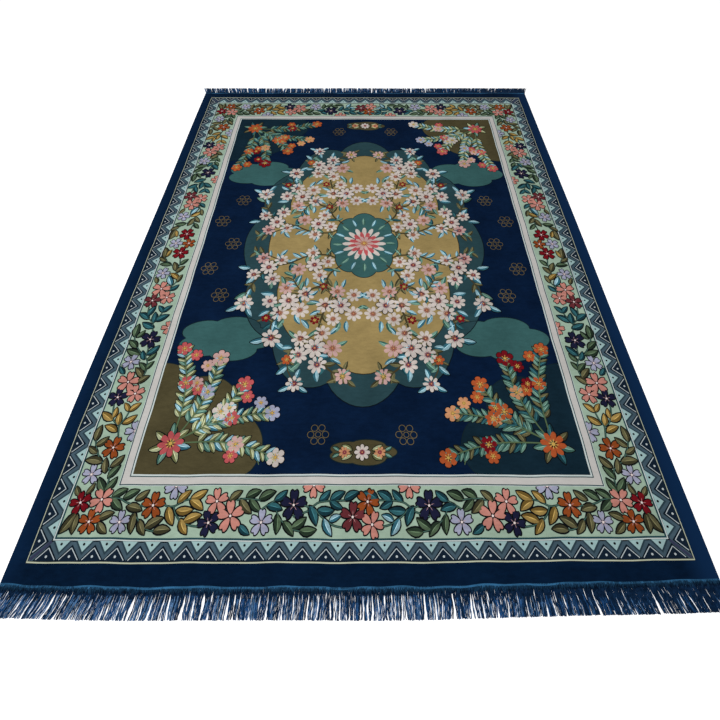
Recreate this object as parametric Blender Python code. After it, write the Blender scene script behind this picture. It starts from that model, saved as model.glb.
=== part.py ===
"""Japanese silk rug: a knotted pile cloth with a knotted fringe along each short end.

The rug lies flat on the plane z = 0 with its length along Y. Its ends bow outward a little in
the middle and its long sides wander by a few millimetres, as a hand-knotted rug does. Each
fringe is a row of yarn locks that grow from a narrow woven strip, parted from the rug's end.
"""

import math

import bmesh
import bpy

# The rug's pile cloth, metres
WIDTH = 2.44
LENGTH = 3.05
THICKNESS = 0.012
RIM_RADIUS = 0.0045
RIM_SEGMENTS = 3
CELLS_ACROSS = 40
CELLS_ALONG = 16

# How far the outline leaves a true rectangle, and how far the face rises and falls
# Each end stands out by a level, a slope and a curve across the width, and less farther in
NEAR_BOW = (0.0160, -0.0105, -0.0155)
FAR_BOW = (0.0115, 0.0066, -0.0010)
BOW_FADE = 12
END_WAVE = 0.0015
END_WAVE_COUNT = 2.5
SIDE_WAVE = 0.0018
SIDE_WAVE_COUNT = 1.6
FACE_RIPPLE = 0.0007
RIPPLE_COUNT_X = 2.2
RIPPLE_COUNT_Y = 2.8

# The fringe at each end
STRIP_GAP = 0.0003
STRIP_DEPTH = 0.008
STRIP_HEIGHT = 0.004
LOCKS = 144
LOCK_LENGTH = 0.076
LOCK_LENGTH_SPREAD = 0.0015
LOCK_SHARE = 0.62
LOCK_STEPS = 3
TIP_WIDTH_SHARE = 0.55
CREST_WIDTH_SHARE = 0.6
TIP_HEIGHT = 0.002
FAN = 0.030
WANDER = 0.004
WANDER_COUNT = 3.2
CURL = 0.0012

# Name, base colour, roughness
PILE = ("pile", (0.016, 0.045, 0.11, 1.0), 0.62)
FRINGE = ("fringe", (0.045, 0.10, 0.24, 1.0), 0.7)


def clear_scene():
    """Remove every object the file opened with."""
    for old in list(bpy.data.objects):
        bpy.data.objects.remove(old, do_unlink=True)


def make_material(spec):
    """A Principled material from a name, a base colour and a roughness."""
    name, colour, roughness = spec
    material = bpy.data.materials.new(name)
    material.use_nodes = True
    shader = material.node_tree.nodes["Principled BSDF"]
    shader.inputs["Base Color"].default_value = colour
    shader.inputs["Roughness"].default_value = roughness
    shader.inputs["Metallic"].default_value = 0.0
    return material


def end_bow(x, side):
    """How far the rug's end stands outside its true rectangle at x, for side -1 or +1."""
    across = 2.0 * x / WIDTH
    level, slope, curve = FAR_BOW if side > 0 else NEAR_BOW
    wave = math.cos(math.pi * END_WAVE_COUNT * across + 0.9 * side)
    return level + slope * across + curve * across * across + END_WAVE * wave


def side_wander(y):
    """How far both long sides stand to the right of straight at y."""
    return SIDE_WAVE * math.sin(2.0 * math.pi * SIDE_WAVE_COUNT * y / LENGTH + 0.6)


def face_ripple(x, y):
    """The slow rise and fall of the rug's face."""
    along = math.sin(2.0 * math.pi * RIPPLE_COUNT_Y * y / LENGTH + 1.1)
    across = math.cos(2.0 * math.pi * RIPPLE_COUNT_X * x / WIDTH + 0.4)
    return FACE_RIPPLE * along * across


def lay_out(x, y, z):
    """Move a point of the true rectangle to where the rug's cloth really lies."""
    reach = 2.0 * y / LENGTH
    side = 1 if y > 0 else -1
    shift = side_wander(y) * (2.0 * x / WIDTH) ** 2
    bow = end_bow(x, side) * side * reach ** BOW_FADE
    lift = face_ripple(x, y) * z / THICKNESS
    return x + shift, y + bow, z + lift


def cut_along(bm, axis, cuts):
    """Cut every edge that runs along one axis into equal lengths."""
    edges = [e for e in bm.edges if runs_along(e, axis)]
    bmesh.ops.subdivide_edges(bm, edges=edges, cuts=cuts, use_grid_fill=True)


def runs_along(edge, axis):
    """Whether an edge is parallel to one axis."""
    run = edge.verts[1].co - edge.verts[0].co
    return abs(run[axis]) > 0.999 * run.length


def make_object(name, bm, material, collection):
    """A smooth-shaded object from a finished bmesh."""
    bmesh.ops.recalc_face_normals(bm, faces=bm.faces)
    mesh = bpy.data.meshes.new(name)
    bm.to_mesh(mesh)
    bm.free()
    mesh.shade_smooth()
    mesh.set_sharp_from_angle(angle=math.radians(40.0))
    mesh.materials.append(material)
    piece = bpy.data.objects.new(name, mesh)
    collection.objects.link(piece)
    return piece


def make_rug(material, collection):
    """The pile cloth: a thin slab with a rounded rim on a flat back."""
    bm = bmesh.new()
    bmesh.ops.create_cube(bm, size=1.0)
    bmesh.ops.scale(bm, vec=(WIDTH, LENGTH, THICKNESS), verts=bm.verts)
    bmesh.ops.translate(bm, vec=(0.0, 0.0, THICKNESS / 2.0), verts=bm.verts)
    cut_along(bm, 0, CELLS_ACROSS - 1)
    cut_along(bm, 1, CELLS_ALONG - 1)

    def on_rim(vert):
        outer = abs(vert.co.x) > WIDTH / 2.0 - 1e-5 or abs(vert.co.y) > LENGTH / 2.0 - 1e-5
        return outer and vert.co.z > THICKNESS - 1e-5

    rim = [e for e in bm.edges if all(on_rim(v) for v in e.verts) and len(e.link_faces) == 2
           and e.calc_face_angle() > 1.0]
    bmesh.ops.bevel(bm, geom=rim, offset=RIM_RADIUS, offset_type="OFFSET",
                    segments=RIM_SEGMENTS, profile=0.5, affect="EDGES")
    for vert in bm.verts:
        vert.co = lay_out(*vert.co)
    return make_object("rug", bm, material, collection)


def strip_edge_x(index):
    """Where a cut across the strip stands: gaps and locks take turns from the left end."""
    pitch = WIDTH / LOCKS
    lock = pitch * LOCK_SHARE
    gap = (WIDTH - LOCKS * lock) / (LOCKS + 1)
    whole, part = divmod(index, 2)
    return -WIDTH / 2.0 + whole * (gap + lock) + part * gap


def lock_lean(x, number):
    """How far a lock's tip lies to the right of its root."""
    across = 2.0 * x / WIDTH
    slow = FAN * across * abs(across) + WANDER * math.sin(math.pi * WANDER_COUNT * across + 0.5)
    return slow + CURL * math.sin(2.4 * number)


def place_lock_face(face, number, root_x, root_y, side, step):
    """Move an extruded lock face to its place along the lock."""
    share = step / LOCK_STEPS
    length = LOCK_LENGTH + LOCK_LENGTH_SPREAD * math.sin(1.7 * number)
    half_width = WIDTH / LOCKS * LOCK_SHARE / 2.0 * (1.0 + (TIP_WIDTH_SHARE - 1.0) * share)
    height = STRIP_HEIGHT + (TIP_HEIGHT - STRIP_HEIGHT) * share
    sway = lock_lean(root_x, number) * share ** 1.4
    curl = CURL * math.sin(math.pi * share + 1.3 * number) * math.sin(math.pi * share)
    centre = face.calc_center_median()
    for vert in face.verts:
        right = 1.0 if vert.co.x > centre.x else -1.0
        high = vert.co.z > centre.z
        width = half_width * (CREST_WIDTH_SHARE if high else 1.0)
        vert.co.x = root_x + sway + curl + right * width
        vert.co.y = root_y + side * length * share
        vert.co.z = height if high else 0.0


def make_fringe(name, side, material, collection):
    """One end's fringe: a narrow strip that follows the rug's end, with a row of locks."""
    bm = bmesh.new()
    bmesh.ops.create_cube(bm, size=1.0)
    segments = 2 * LOCKS + 1
    cut_along(bm, 0, segments - 1)
    for vert in bm.verts:
        x = strip_edge_x(round((vert.co.x + 0.5) * segments))
        end_y = lay_out(x, side * LENGTH / 2.0, 0.0)[1]
        depth = STRIP_DEPTH if vert.co.y * side > 0 else 0.0
        high = vert.co.z > 0
        vert.co = (x, end_y + side * (STRIP_GAP + depth), STRIP_HEIGHT if high else 0.0)

    outer = sorted((f for f in bm.faces if f.normal.y * side > 0.9),
                   key=lambda f: f.calc_center_median().x)
    for number, face in enumerate(outer[1::2]):
        root = face.calc_center_median()
        for step in range(1, LOCK_STEPS + 1):
            face = bmesh.ops.extrude_discrete_faces(bm, faces=[face])["faces"][0]
            place_lock_face(face, number, root.x, root.y, side, step)
    return make_object(name, bm, material, collection)


def main():
    """Build the rug and its two fringes."""
    clear_scene()
    collection = bpy.data.collections.new("japanese_silk_rug")
    bpy.context.scene.collection.children.link(collection)
    pile = make_material(PILE)
    fringe = make_material(FRINGE)
    make_rug(pile, collection)
    make_fringe("fringe_front", -1, fringe, collection)
    make_fringe("fringe_back", 1, fringe, collection)


main()
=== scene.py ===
"""Dress the japanese silk rug: its knotted pile, the carved border and field motifs, and both fringes."""

import math
import random

import bpy
import numpy as np
from bpy.props import FloatProperty, FloatVectorProperty, IntProperty, PointerProperty
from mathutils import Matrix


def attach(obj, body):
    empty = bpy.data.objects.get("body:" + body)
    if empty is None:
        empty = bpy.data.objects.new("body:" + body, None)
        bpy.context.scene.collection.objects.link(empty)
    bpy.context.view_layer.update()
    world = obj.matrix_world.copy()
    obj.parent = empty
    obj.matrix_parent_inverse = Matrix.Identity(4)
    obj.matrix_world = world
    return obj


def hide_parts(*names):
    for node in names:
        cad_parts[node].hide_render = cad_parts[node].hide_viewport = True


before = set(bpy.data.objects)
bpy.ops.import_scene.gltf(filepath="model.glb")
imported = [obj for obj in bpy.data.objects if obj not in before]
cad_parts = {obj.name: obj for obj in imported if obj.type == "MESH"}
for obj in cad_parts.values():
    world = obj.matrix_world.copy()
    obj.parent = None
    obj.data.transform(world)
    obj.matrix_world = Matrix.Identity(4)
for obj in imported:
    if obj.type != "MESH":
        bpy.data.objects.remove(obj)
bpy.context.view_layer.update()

bl_info = {
    "name": "Japanese silk rug",
    "version": (1, 0, 0),
    "blender": (4, 5, 0),
    "location": "3D View > Sidebar > Rug",
    "description": "Knotted silk rug with a sawtooth band, a blossom border, a medallion field and fringes",
    "category": "Object",
}

# The pile cloth's size, as its solid's
WIDTH = 2.44
LENGTH = 3.05
THICKNESS = 0.012
HALF_X = WIDTH / 2.0
HALF_Y = LENGTH / 2.0

# How the cloth leaves a true rectangle, as its solid does
NEAR_BOW = (0.0160, -0.0105, -0.0155)
FAR_BOW = (0.0115, 0.0066, -0.0010)
BOW_FADE = 12
END_WAVE = 0.0015
END_WAVE_COUNT = 2.5
SIDE_WAVE = 0.0018
SIDE_WAVE_COUNT = 1.6
FACE_RIPPLE = 0.0007
RIPPLE_COUNT_X = 2.2
RIPPLE_COUNT_Y = 2.8

# How far a knotted line strays from a straight one
KNOT_WANDER = 0.0009
# How far the near end's rows bow inward in the middle, by their distance from the rug's middle
ROW_PLACES = (0.0, 0.80, 1.190, 1.2275, 1.395, 1.462, 1.525)
ROW_BOWS = (0.0, 0.0, -0.0045, -0.0062, 0.0035, -0.0036, 0.0)

# Insets from the cloth's edge to the lines and bands of the border
YELLOW_LINE = 0.063
SAW_OUTER = 0.066
SAW_INNER = 0.1265
PALE_LINE = 0.1275
DARK_LINE = 0.1312
BORDER_OUTER = 0.135
BORDER_INNER = 0.2965
GUARD_LINE = 0.2987
GUARD_OUTER = 0.3025
GUARD_INNER = 0.3285
FIELD_LINE = 0.3320
FIELD_EDGE = 0.338

# Heights above the navy ground: where each layer's wall starts and where its face lies
SUNK = -0.0006
BAND_FACE = 0.0005
LINE_FACE = 0.0011
OUTLINE_FACE = 0.0012
MOTIF_RIM = 0.0016
MOTIF_CROWN = 0.0027
HEART_FACE = 0.0032
OUTLINE_HEIGHTS = (SUNK, OUTLINE_FACE)
HEART_HEIGHTS = (SUNK, HEART_FACE - 0.0006, HEART_FACE)
RAY_HEIGHTS = (SUNK, HEART_FACE - 0.0003)

# The ground's cuts across and along it, its rounded rim, and the field sheet's cuts and thickness
GROUND_CUTS = (47, 59)
RIM_RADIUS = 0.005
RIM_SEGMENTS = 4
FIELD_CUTS = 39
FIELD_THICKNESS = 0.0009

# How far a band's ground reaches under its lines, and the cuts on each side of a band or line
UNDERLAP = 0.001
RING_CUTS = 64

# Rings of a form, from its foot up, as shares of its outline: upright, and drawn in to a round dot
UPRIGHT = (1.0, 1.0)
DOT_RINGS = (1.0, 1.0, 0.6)

# Points on each lobe of a lobed outline, and the rings of points inside a flat patch
LOBE_POINTS = 12
PATCH_RINGS = (1.0, 1.0, 0.86, 0.7, 0.54, 0.38, 0.22, 0.08)

# Edges up to this angle shade softly, degrees
SOFT_ANGLE = 42.0

# The quarters of the rug, as signs of X and Y
QUARTERS = ((1.0, 1.0), (1.0, -1.0), (-1.0, 1.0), (-1.0, -1.0))

# How much brighter the studio's light shows a white thing than full display white
STUDIO_GAIN = 1.22


def linear(red, green, blue):
    """The dye that shows as a display colour, 0 to 255, under the studio's light."""
    parts = (red / 255.0, green / 255.0, blue / 255.0)
    light = (p / 12.92 if p <= 0.04045 else ((p + 0.055) / 1.055) ** 2.4 for p in parts)
    return tuple(p / STUDIO_GAIN for p in light)


def size_property(name, description, default):
    """A length that a user may change, in metres."""
    return FloatProperty(name=name, description=description, default=default, min=0.0,
                         unit="LENGTH", subtype="DISTANCE")


def colour_property(name, description, red, green, blue):
    """A pile or yarn colour, given as it looks on a display."""
    return FloatVectorProperty(name=name, description=description, default=linear(red, green, blue),
                               size=3, min=0.0, max=1.0, subtype="COLOR")


class RugSizes(bpy.types.PropertyGroup):
    """Sizes of the rug's finer parts."""

    outline: size_property("Outline", "Width of the dark line round a motif", 0.0043)
    yarn: size_property("Yarn", "Radius of a fringe yarn", 0.0019)
    fringe: size_property("Fringe", "Reach of the fringe past the pile", 0.084)
    tuft: size_property("Tuft", "Length of the pile tufts that lean out over each end", 0.0215)
    yarns: IntProperty(name="Yarns", default=1000, min=1, max=2000,
                       description="Evenly spaced yarns in each fringe; a quarter more crowd its right part")


class RugColours(bpy.types.PropertyGroup):
    """Colours of the rug's dyed silk."""

    navy: colour_property("Navy", "Outer border", 6, 25, 48)
    field: colour_property("Field", "Ground of the field", 8, 26, 52)
    # A painted highlight along the line where the pile turns over at each end
    crest_highlight: colour_property("Crest", "Bright line where the pile turns over at each end", 45, 93, 130)
    fringe: colour_property("Fringe", "Fringe yarn", 30, 70, 116)
    slate: colour_property("Slate", "Sawtooth band", 67, 87, 99)
    shadow_slate: colour_property("Shadow slate", "Rim of the inner teeth", 44, 62, 72)
    ink: colour_property("Ink", "Outer teeth of the sawtooth band", 20, 33, 48)
    ice: colour_property("Ice", "Inner teeth of the sawtooth band", 154, 184, 184)
    chalk: colour_property("Chalk", "Chevrons and dots of the sawtooth band", 186, 196, 198)
    straw: colour_property("Straw", "Line round the sawtooth band", 181, 186, 162)
    pearl: colour_property("Pearl", "Pale lines", 196, 206, 204)
    petrol: colour_property("Petrol", "Thin dark green lines", 38, 70, 76)
    mint: colour_property("Mint", "Ground of the blossom border", 155, 178, 159)
    guard: colour_property("Guard", "Plain band inside the blossom border", 193, 190, 186)
    outline: colour_property("Outline", "Dark line round each motif", 15, 17, 20)
    stem: colour_property("Stem", "Stems of the border", 66, 98, 88)


# Blossom and leaf colours as they look on a display
PETAL_COLOURS = {
    "coral": (190, 128, 116),
    "crimson": (113, 19, 28),
    "rust": (139, 69, 32),
    "lilac": (155, 158, 180),
    "indigo": (28, 30, 55),
    "plum": (99, 44, 49),
    "cream": (197, 187, 180),
    "blush": (190, 155, 150),
    "peach": (192, 137, 99),
    "orange": (169, 81, 44),
    "rose": (176, 81, 84),
}
LEAF_COLOURS = {
    "olive": ((60, 58, 40), (92, 89, 62)),
    "gold": ((110, 88, 43), (144, 120, 68)),
    "green": ((38, 52, 40), (72, 90, 68)),
    "teal": ((24, 55, 63), (43, 85, 91)),
    "sky": ((52, 101, 116), (128, 161, 171)),
    "sage": ((55, 91, 82), (94, 126, 113)),
    "cane": ((102, 106, 69), (151, 156, 123)),
}


# Laying points on the cloth

def wander(points):
    """Let knotted outlines stray a little from their drawn place."""
    x, y = points[:, 0], points[:, 1]
    out = points.copy()
    rows = np.interp(np.abs(y), ROW_PLACES, ROW_BOWS) * (1.0 - (x / HALF_X) ** 2)
    out[:, 1] -= np.where(y < 0.0, rows, 0.0)
    out[:, 0] += KNOT_WANDER * (np.sin(21.0 * y + 5.0 * x) + 0.5 * np.sin(47.0 * y + 1.3))
    out[:, 1] += KNOT_WANDER * (np.sin(19.0 * x - 4.0 * y + 0.7) + 0.5 * np.sin(43.0 * x + 2.1))
    return out


def lay(points):
    """Move points of the true rectangle to where the rug's cloth lies."""
    x, y, z = points.T
    across = 2.0 * x / WIDTH
    reach = 2.0 * y / LENGTH
    side = np.where(y > 0, 1.0, -1.0)
    near, far = (level + slope * across + curve * across ** 2
                 for level, slope, curve in (NEAR_BOW, FAR_BOW))
    bow = np.where(y > 0, far, near) + END_WAVE * np.cos(math.pi * END_WAVE_COUNT * across + 0.9 * side)
    shift = SIDE_WAVE * np.sin(2.0 * math.pi * SIDE_WAVE_COUNT * y / LENGTH + 0.6) * across ** 2
    along = np.sin(2.0 * math.pi * RIPPLE_COUNT_Y * y / LENGTH + 1.1)
    ripple = FACE_RIPPLE * along * np.cos(2.0 * math.pi * RIPPLE_COUNT_X * x / WIDTH + 0.4)
    lift = ripple * np.clip(z / THICKNESS, 0.0, 1.0)
    return np.stack([x + shift, y + bow * side * reach ** BOW_FADE, z + lift], axis=1)


# Modelling helpers

def deselect():
    """Leave edit mode and select nothing."""
    if bpy.context.mode != "OBJECT":
        bpy.ops.object.mode_set(mode="OBJECT")
    bpy.ops.object.select_all(action="DESELECT")


def choose(piece):
    """Make a piece the only selected one and the active one."""
    deselect()
    piece.select_set(True)
    bpy.context.view_layer.objects.active = piece


def edit(piece):
    """Enter edit mode on one piece."""
    choose(piece)
    bpy.ops.object.mode_set(mode="EDIT")


def select_edges(piece, wanted):
    """Enter edit mode with those edges selected whose two ends pass a test."""
    bpy.context.tool_settings.mesh_select_mode = (False, True, False)
    edit(piece)
    bpy.ops.mesh.select_all(action="DESELECT")
    bpy.ops.object.mode_set(mode="OBJECT")
    for edge in piece.data.edges:
        edge.select = wanted(*(piece.data.vertices[n].co for n in edge.vertices))
    bpy.ops.object.mode_set(mode="EDIT")


def apply_modifier(piece, kind, **settings):
    """Add one modifier to a piece, set it and apply it."""
    choose(piece)
    modifier = piece.modifiers.new(kind.title(), kind)
    for name, value in settings.items():
        setattr(modifier, name, value)
    bpy.ops.object.modifier_apply(modifier=modifier.name)


def read_points(mesh):
    """A mesh's points as an array."""
    points = np.empty(len(mesh.vertices) * 3)
    mesh.vertices.foreach_get("co", points)
    return points.reshape(-1, 3)


def write_points(mesh, points):
    """Give a mesh's points new places."""
    mesh.vertices.foreach_set("co", np.ascontiguousarray(points, dtype=np.float32).ravel())
    mesh.update()


def wear(piece, materials):
    """Give a finished piece its materials, its soft shading and its body."""
    piece.data.materials.clear()
    for material in materials:
        piece.data.materials.append(material)
    choose(piece)
    bpy.ops.object.shade_smooth_by_angle(angle=math.radians(SOFT_ANGLE))
    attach(piece, "root")


def strip_faces(count, wide, closed):
    """Faces round a strip whose points lie in columns of one length, closed to a loop or open."""
    faces = []
    for n in range(count if closed else count - 1):
        after = (n + 1) % count
        for k in range(wide):
            near, far = k * count, (k + 1) % wide * count
            faces.append((near + n, near + after, far + after, far + n))
    return faces


def tube_faces(rings, sides, flip):
    """Faces of a closed tube whose points lie ring by ring, wound the other way where flip is set."""
    faces = []
    for k in range(rings - 1):
        low, high = k * sides, (k + 1) * sides
        for n in range(sides):
            after = (n + 1) % sides
            faces.append((low + n, high + n, high + after, low + after))
    last = (rings - 1) * sides
    faces += [tuple(range(sides)), tuple(last + n for n in reversed(range(sides)))]
    return [face[::-1] for face in faces] if flip else faces


class Disc:
    """A raised disc of radius 1, modelled once: extruded for its wall, then inset ring by ring."""

    def __init__(self, sides, insets=()):
        deselect()
        bpy.ops.mesh.primitive_circle_add(vertices=sides, radius=1.0, fill_type="NGON",
                                          location=(0.0, 0.0, 0.0))
        disc = bpy.context.object
        edit(disc)
        bpy.ops.mesh.select_mode(type="FACE")
        bpy.ops.mesh.select_all(action="SELECT")
        bpy.ops.mesh.extrude_region_move(TRANSFORM_OT_translate={"value": (0.0, 0.0, 1.0)})
        for inset in insets:
            bpy.ops.mesh.inset(thickness=inset, depth=1.0)
        bpy.ops.mesh.select_all(action="SELECT")
        bpy.ops.mesh.normals_make_consistent(inside=False)
        deselect()
        points = read_points(disc.data)
        self.flat = points[:, :2].copy()
        self.radius = np.hypot(points[:, 0], points[:, 1])
        self.angle = np.arctan2(points[:, 1], points[:, 0])
        self.level = np.rint(points[:, 2]).astype(int)
        self.faces = [tuple(f.vertices) for f in disc.data.polygons]
        bpy.data.objects.remove(disc, do_unlink=True)

    def rings(self, values):
        """One value for each point, from one for each level."""
        return np.array([values[n] for n in self.level])


class Form:
    """A shape ready to be laid down: its points, faces, and the colour number of each face."""

    def __init__(self, points, faces, slots=None):
        self.points = points
        self.faces = faces
        self.slots = slots or [0] * len(faces)


def petal_form(disc, middle, half_length, half_width, taper, notch, heights, along, across):
    """A petal along +X in blossom radii: a disc's outline shaped, its rings drawn in and raised."""
    angle = disc.angle
    rim_x = half_length * np.cos(angle) - notch * np.exp(-(angle / 0.32) ** 2)
    rim_y = half_width * np.sin(angle) * (1.0 + taper * np.cos(angle))
    x = middle + rim_x * disc.rings(along)
    y = rim_y * disc.rings(across)
    return Form(np.stack([x, y, disc.rings(heights)], axis=1), disc.faces)


def leaf_form(disc, half_width, bend, grow, heights, along, across, toned):
    """A pointed leaf from its base at 0 to its tip at 1 on X, in leaf lengths, bent to one side."""
    angle = disc.angle
    half_length = 0.5 + grow
    rim_x = half_length * np.cos(angle)
    swell = np.abs(np.sin(angle)) ** 1.6 * (1.0 - 0.18 * np.cos(angle))
    rim_y = (half_width + grow) * np.sign(np.sin(angle)) * swell
    x = rim_x * disc.rings(along)
    y = rim_y * disc.rings(across) + bend * (1.0 - (2.0 * x) ** 2)
    points = np.stack([0.5 + x, y, disc.rings(heights)], axis=1)
    slots = [0] * len(disc.faces)
    if toned:
        top = disc.level.max()
        for number, face in enumerate(disc.faces):
            levels = disc.level[list(face)]
            upper = np.sin(angle[list(face)]).mean() > 0.0
            slots[number] = 2 if levels.min() == top else int(upper)
    return Form(points, disc.faces, slots)


def dot_form(disc, heights):
    """A small round knot of colour, radius 1."""
    flat = disc.flat / np.maximum(disc.radius, 1e-9)[:, None] * disc.rings(DOT_RINGS)[:, None]
    return Form(np.column_stack([flat, disc.rings(heights)]), disc.faces)


def tooth_form(disc, heights, inner):
    """A triangle with its base on the X axis from -1 to 1 and its point at Y = 1."""
    shrink = disc.rings(inner)
    x = np.sign(np.round(disc.flat[:, 0], 3)) * shrink
    y = np.where(disc.flat[:, 1] > 0, 1.0, 0.0)
    y = 0.36 + (y - 0.36) * shrink
    return Form(np.column_stack([x, y, disc.rings(heights)]), disc.faces)


class Gather:
    """Many small raised shapes gathered into one piece."""

    def __init__(self):
        self.points = []
        self.faces = []
        self.slots = []
        self.total = 0

    def add(self, points, faces, slots):
        """Add one shape's points, faces and colour numbers."""
        start = self.total
        self.points.append(points)
        self.faces.extend(tuple(n + start for n in face) for face in faces)
        self.slots.extend(slots)
        self.total += len(points)

    def place(self, form, x, y, turn, size, width=None, colour=0, lift=0.0, limit=None):
        """Lay a form down at a place, turned and sized. Past a limit line its points draw in to it."""
        u = form.points[:, 0] * size
        v = form.points[:, 1] * (size if width is None else width)
        c, s = math.cos(turn), math.sin(turn)
        points = np.column_stack([x + c * u - s * v, y + s * u + c * v, form.points[:, 2] + lift])
        if limit is not None:
            axis, sign, edge = limit
            past = np.maximum(sign * (points[:, axis] - edge), 0.0)
            points[:, axis] -= sign * past * 0.97
        self.add(points, form.faces, [colour + slot for slot in form.slots])

    def stroke(self, route, width, face, closed=False, colour=0, taper=False, crown=0.0004):
        """Lay a thin raised line along a route of (x, y) points."""
        route = np.asarray(route, dtype=float)
        count = len(route)
        if closed:
            run = np.roll(route, -1, axis=0) - np.roll(route, 1, axis=0)
        else:
            run = np.gradient(route, axis=0)
        run /= np.linalg.norm(run, axis=1)[:, None]
        normal = np.column_stack([-run[:, 1], run[:, 0]])
        half = np.full(count, width / 2.0)
        if taper:
            half *= 0.35 + 0.65 * np.sin(np.linspace(0.25, 0.9, count) * math.pi)
        columns = ((1.0, SUNK), (1.0, face), (0.0, face + crown), (-1.0, face), (-1.0, SUNK))
        points = np.concatenate([
            np.column_stack([route + normal * (half * side)[:, None], np.full(count, height)])
            for side, height in columns])
        wide = len(columns)
        faces = strip_faces(count, wide, closed)
        if not closed:
            faces.append(tuple(k * count for k in range(wide)))
            faces.append(tuple(k * count + count - 1 for k in reversed(range(wide))))
        self.add(points, faces, [colour] * len(faces))

    def ring(self, outer, inner, face, colour=0, slim=0.0):
        """Lay a rectangular band between two insets from the cloth's edge, slimmer on its long sides."""
        corners = []
        for inset, trim in ((outer, slim), (inner, -slim)):
            x, y = HALF_X - inset - trim, HALF_Y - inset
            loop = ((-x, -y), (x, -y), (x, y), (-x, y))
            steps = np.linspace(0.0, 1.0, RING_CUTS, endpoint=False)[:, None]
            corners.append(np.concatenate([
                np.asarray(loop[n]) + (np.asarray(loop[(n + 1) % 4]) - np.asarray(loop[n])) * steps
                for n in range(4)]))
        count = len(corners[0])
        columns = ((corners[0], SUNK), (corners[0], face), (corners[1], face), (corners[1], SUNK))
        points = np.concatenate([
            np.column_stack([loop, np.full(count, height)]) for loop, height in columns])
        faces = strip_faces(count, len(columns), True)
        self.add(points, faces, [colour] * len(faces))

    def finish(self, name, materials, slot="pile", on_cloth=True):
        """Make the piece: its shapes on the cloth's face, in the given materials."""
        points = np.concatenate(self.points)
        if on_cloth:
            points[:, 2] += THICKNESS
            points = lay(wander(points))
        mesh = bpy.data.meshes.new(name)
        mesh.from_pydata(points.tolist(), [], self.faces)
        mesh.update()
        piece = bpy.data.objects.new(name, mesh)
        bpy.context.scene.collection.objects.link(piece)
        wear(piece, materials)
        mesh.polygons.foreach_set("material_index", np.array(self.slots, dtype=np.int32))
        return piece


# Materials

def set_sockets(node, values):
    """Set a node's sockets by their names."""
    for name, value in values.items():
        node.inputs[name].default_value = value


def add_node(tree, kind, values=None, **settings):
    """Add a node, set what it is given, then its sockets by their names."""
    node = tree.nodes.new(kind)
    for name, value in settings.items():
        setattr(node, name, value)
    set_sockets(node, values or {})
    return node


def new_material(name):
    """A new material with its node tree, its Principled shader and its Object coordinates."""
    material = bpy.data.materials.new(name)
    material.use_nodes = True
    tree = material.node_tree
    place = add_node(tree, "ShaderNodeTexCoord").outputs["Object"]
    return material, tree, tree.nodes["Principled BSDF"], place


def noise(tree, source, scale, detail, roughness):
    """Noise read at a scale."""
    node = add_node(tree, "ShaderNodeTexNoise", {"Scale": scale, "Detail": detail, "Roughness": roughness})
    tree.links.new(source, node.inputs["Vector"])
    return node.outputs["Fac"]


def blend_values(tree, first, second, share):
    """A mix of two grey values."""
    node = add_node(tree, "ShaderNodeMix", {"Factor": share}, data_type="FLOAT")
    tree.links.new(first, node.inputs["A"])
    tree.links.new(second, node.inputs["B"])
    return node.outputs["Result"]


def add_bump(tree, shader, height, strength, distance):
    """Let a value raise the surface."""
    bump = add_node(tree, "ShaderNodeBump", {"Strength": strength, "Distance": distance})
    tree.links.new(height, bump.inputs["Height"])
    tree.links.new(bump.outputs["Normal"], shader.inputs["Normal"])


def ramp(tree, value, stops):
    """Colours by value, from (position, colour) stops."""
    node = add_node(tree, "ShaderNodeValToRGB")
    while len(node.color_ramp.elements) < len(stops):
        node.color_ramp.elements.new(0.5)
    for element, (position, colour) in zip(node.color_ramp.elements, stops):
        element.position = position
        element.color = (*colour, 1.0)
    tree.links.new(value, node.inputs["Fac"])
    return node.outputs["Color"]


def shade(colour, amount):
    """A colour made darker or lighter."""
    return tuple(min(max(c * amount, 0.0), 1.0) for c in colour)


def sheen_tint(colour):
    """The colour of the shine on silk of one dye."""
    return (*shade(colour, 0.8 / max(colour)), 1.0)


# How much of the painted sheen colour shows across the rug, from its left side to its right
SIDE_SHEEN_STOPS = ((0.0, 0.45), (0.03, 0.0), (0.955, 0.0), (0.985, 0.85), (1.0, 1.0))


def painted_side_sheen(tree, place, dye, colour):
    """Paint a lighter colour along the long sides as a painted sheen where the pile leans outward, more on
    the right side than the left.
    """
    parts = add_node(tree, "ShaderNodeSeparateXYZ")
    tree.links.new(place, parts.inputs["Vector"])
    across = add_node(tree, "ShaderNodeMapRange", {"From Min": -HALF_X, "From Max": HALF_X})
    tree.links.new(parts.outputs["X"], across.inputs["Value"])
    stops = [(position, (grey,) * 3) for position, grey in SIDE_SHEEN_STOPS]
    blend = add_node(tree, "ShaderNodeMix", data_type="RGBA")
    factor, first, second = blend.inputs[0], blend.inputs[6], blend.inputs[7]
    tree.links.new(ramp(tree, across.outputs["Result"], stops), factor)
    tree.links.new(dye, first)
    second.default_value = (*colour, 1.0)
    return blend.outputs[2]


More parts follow.
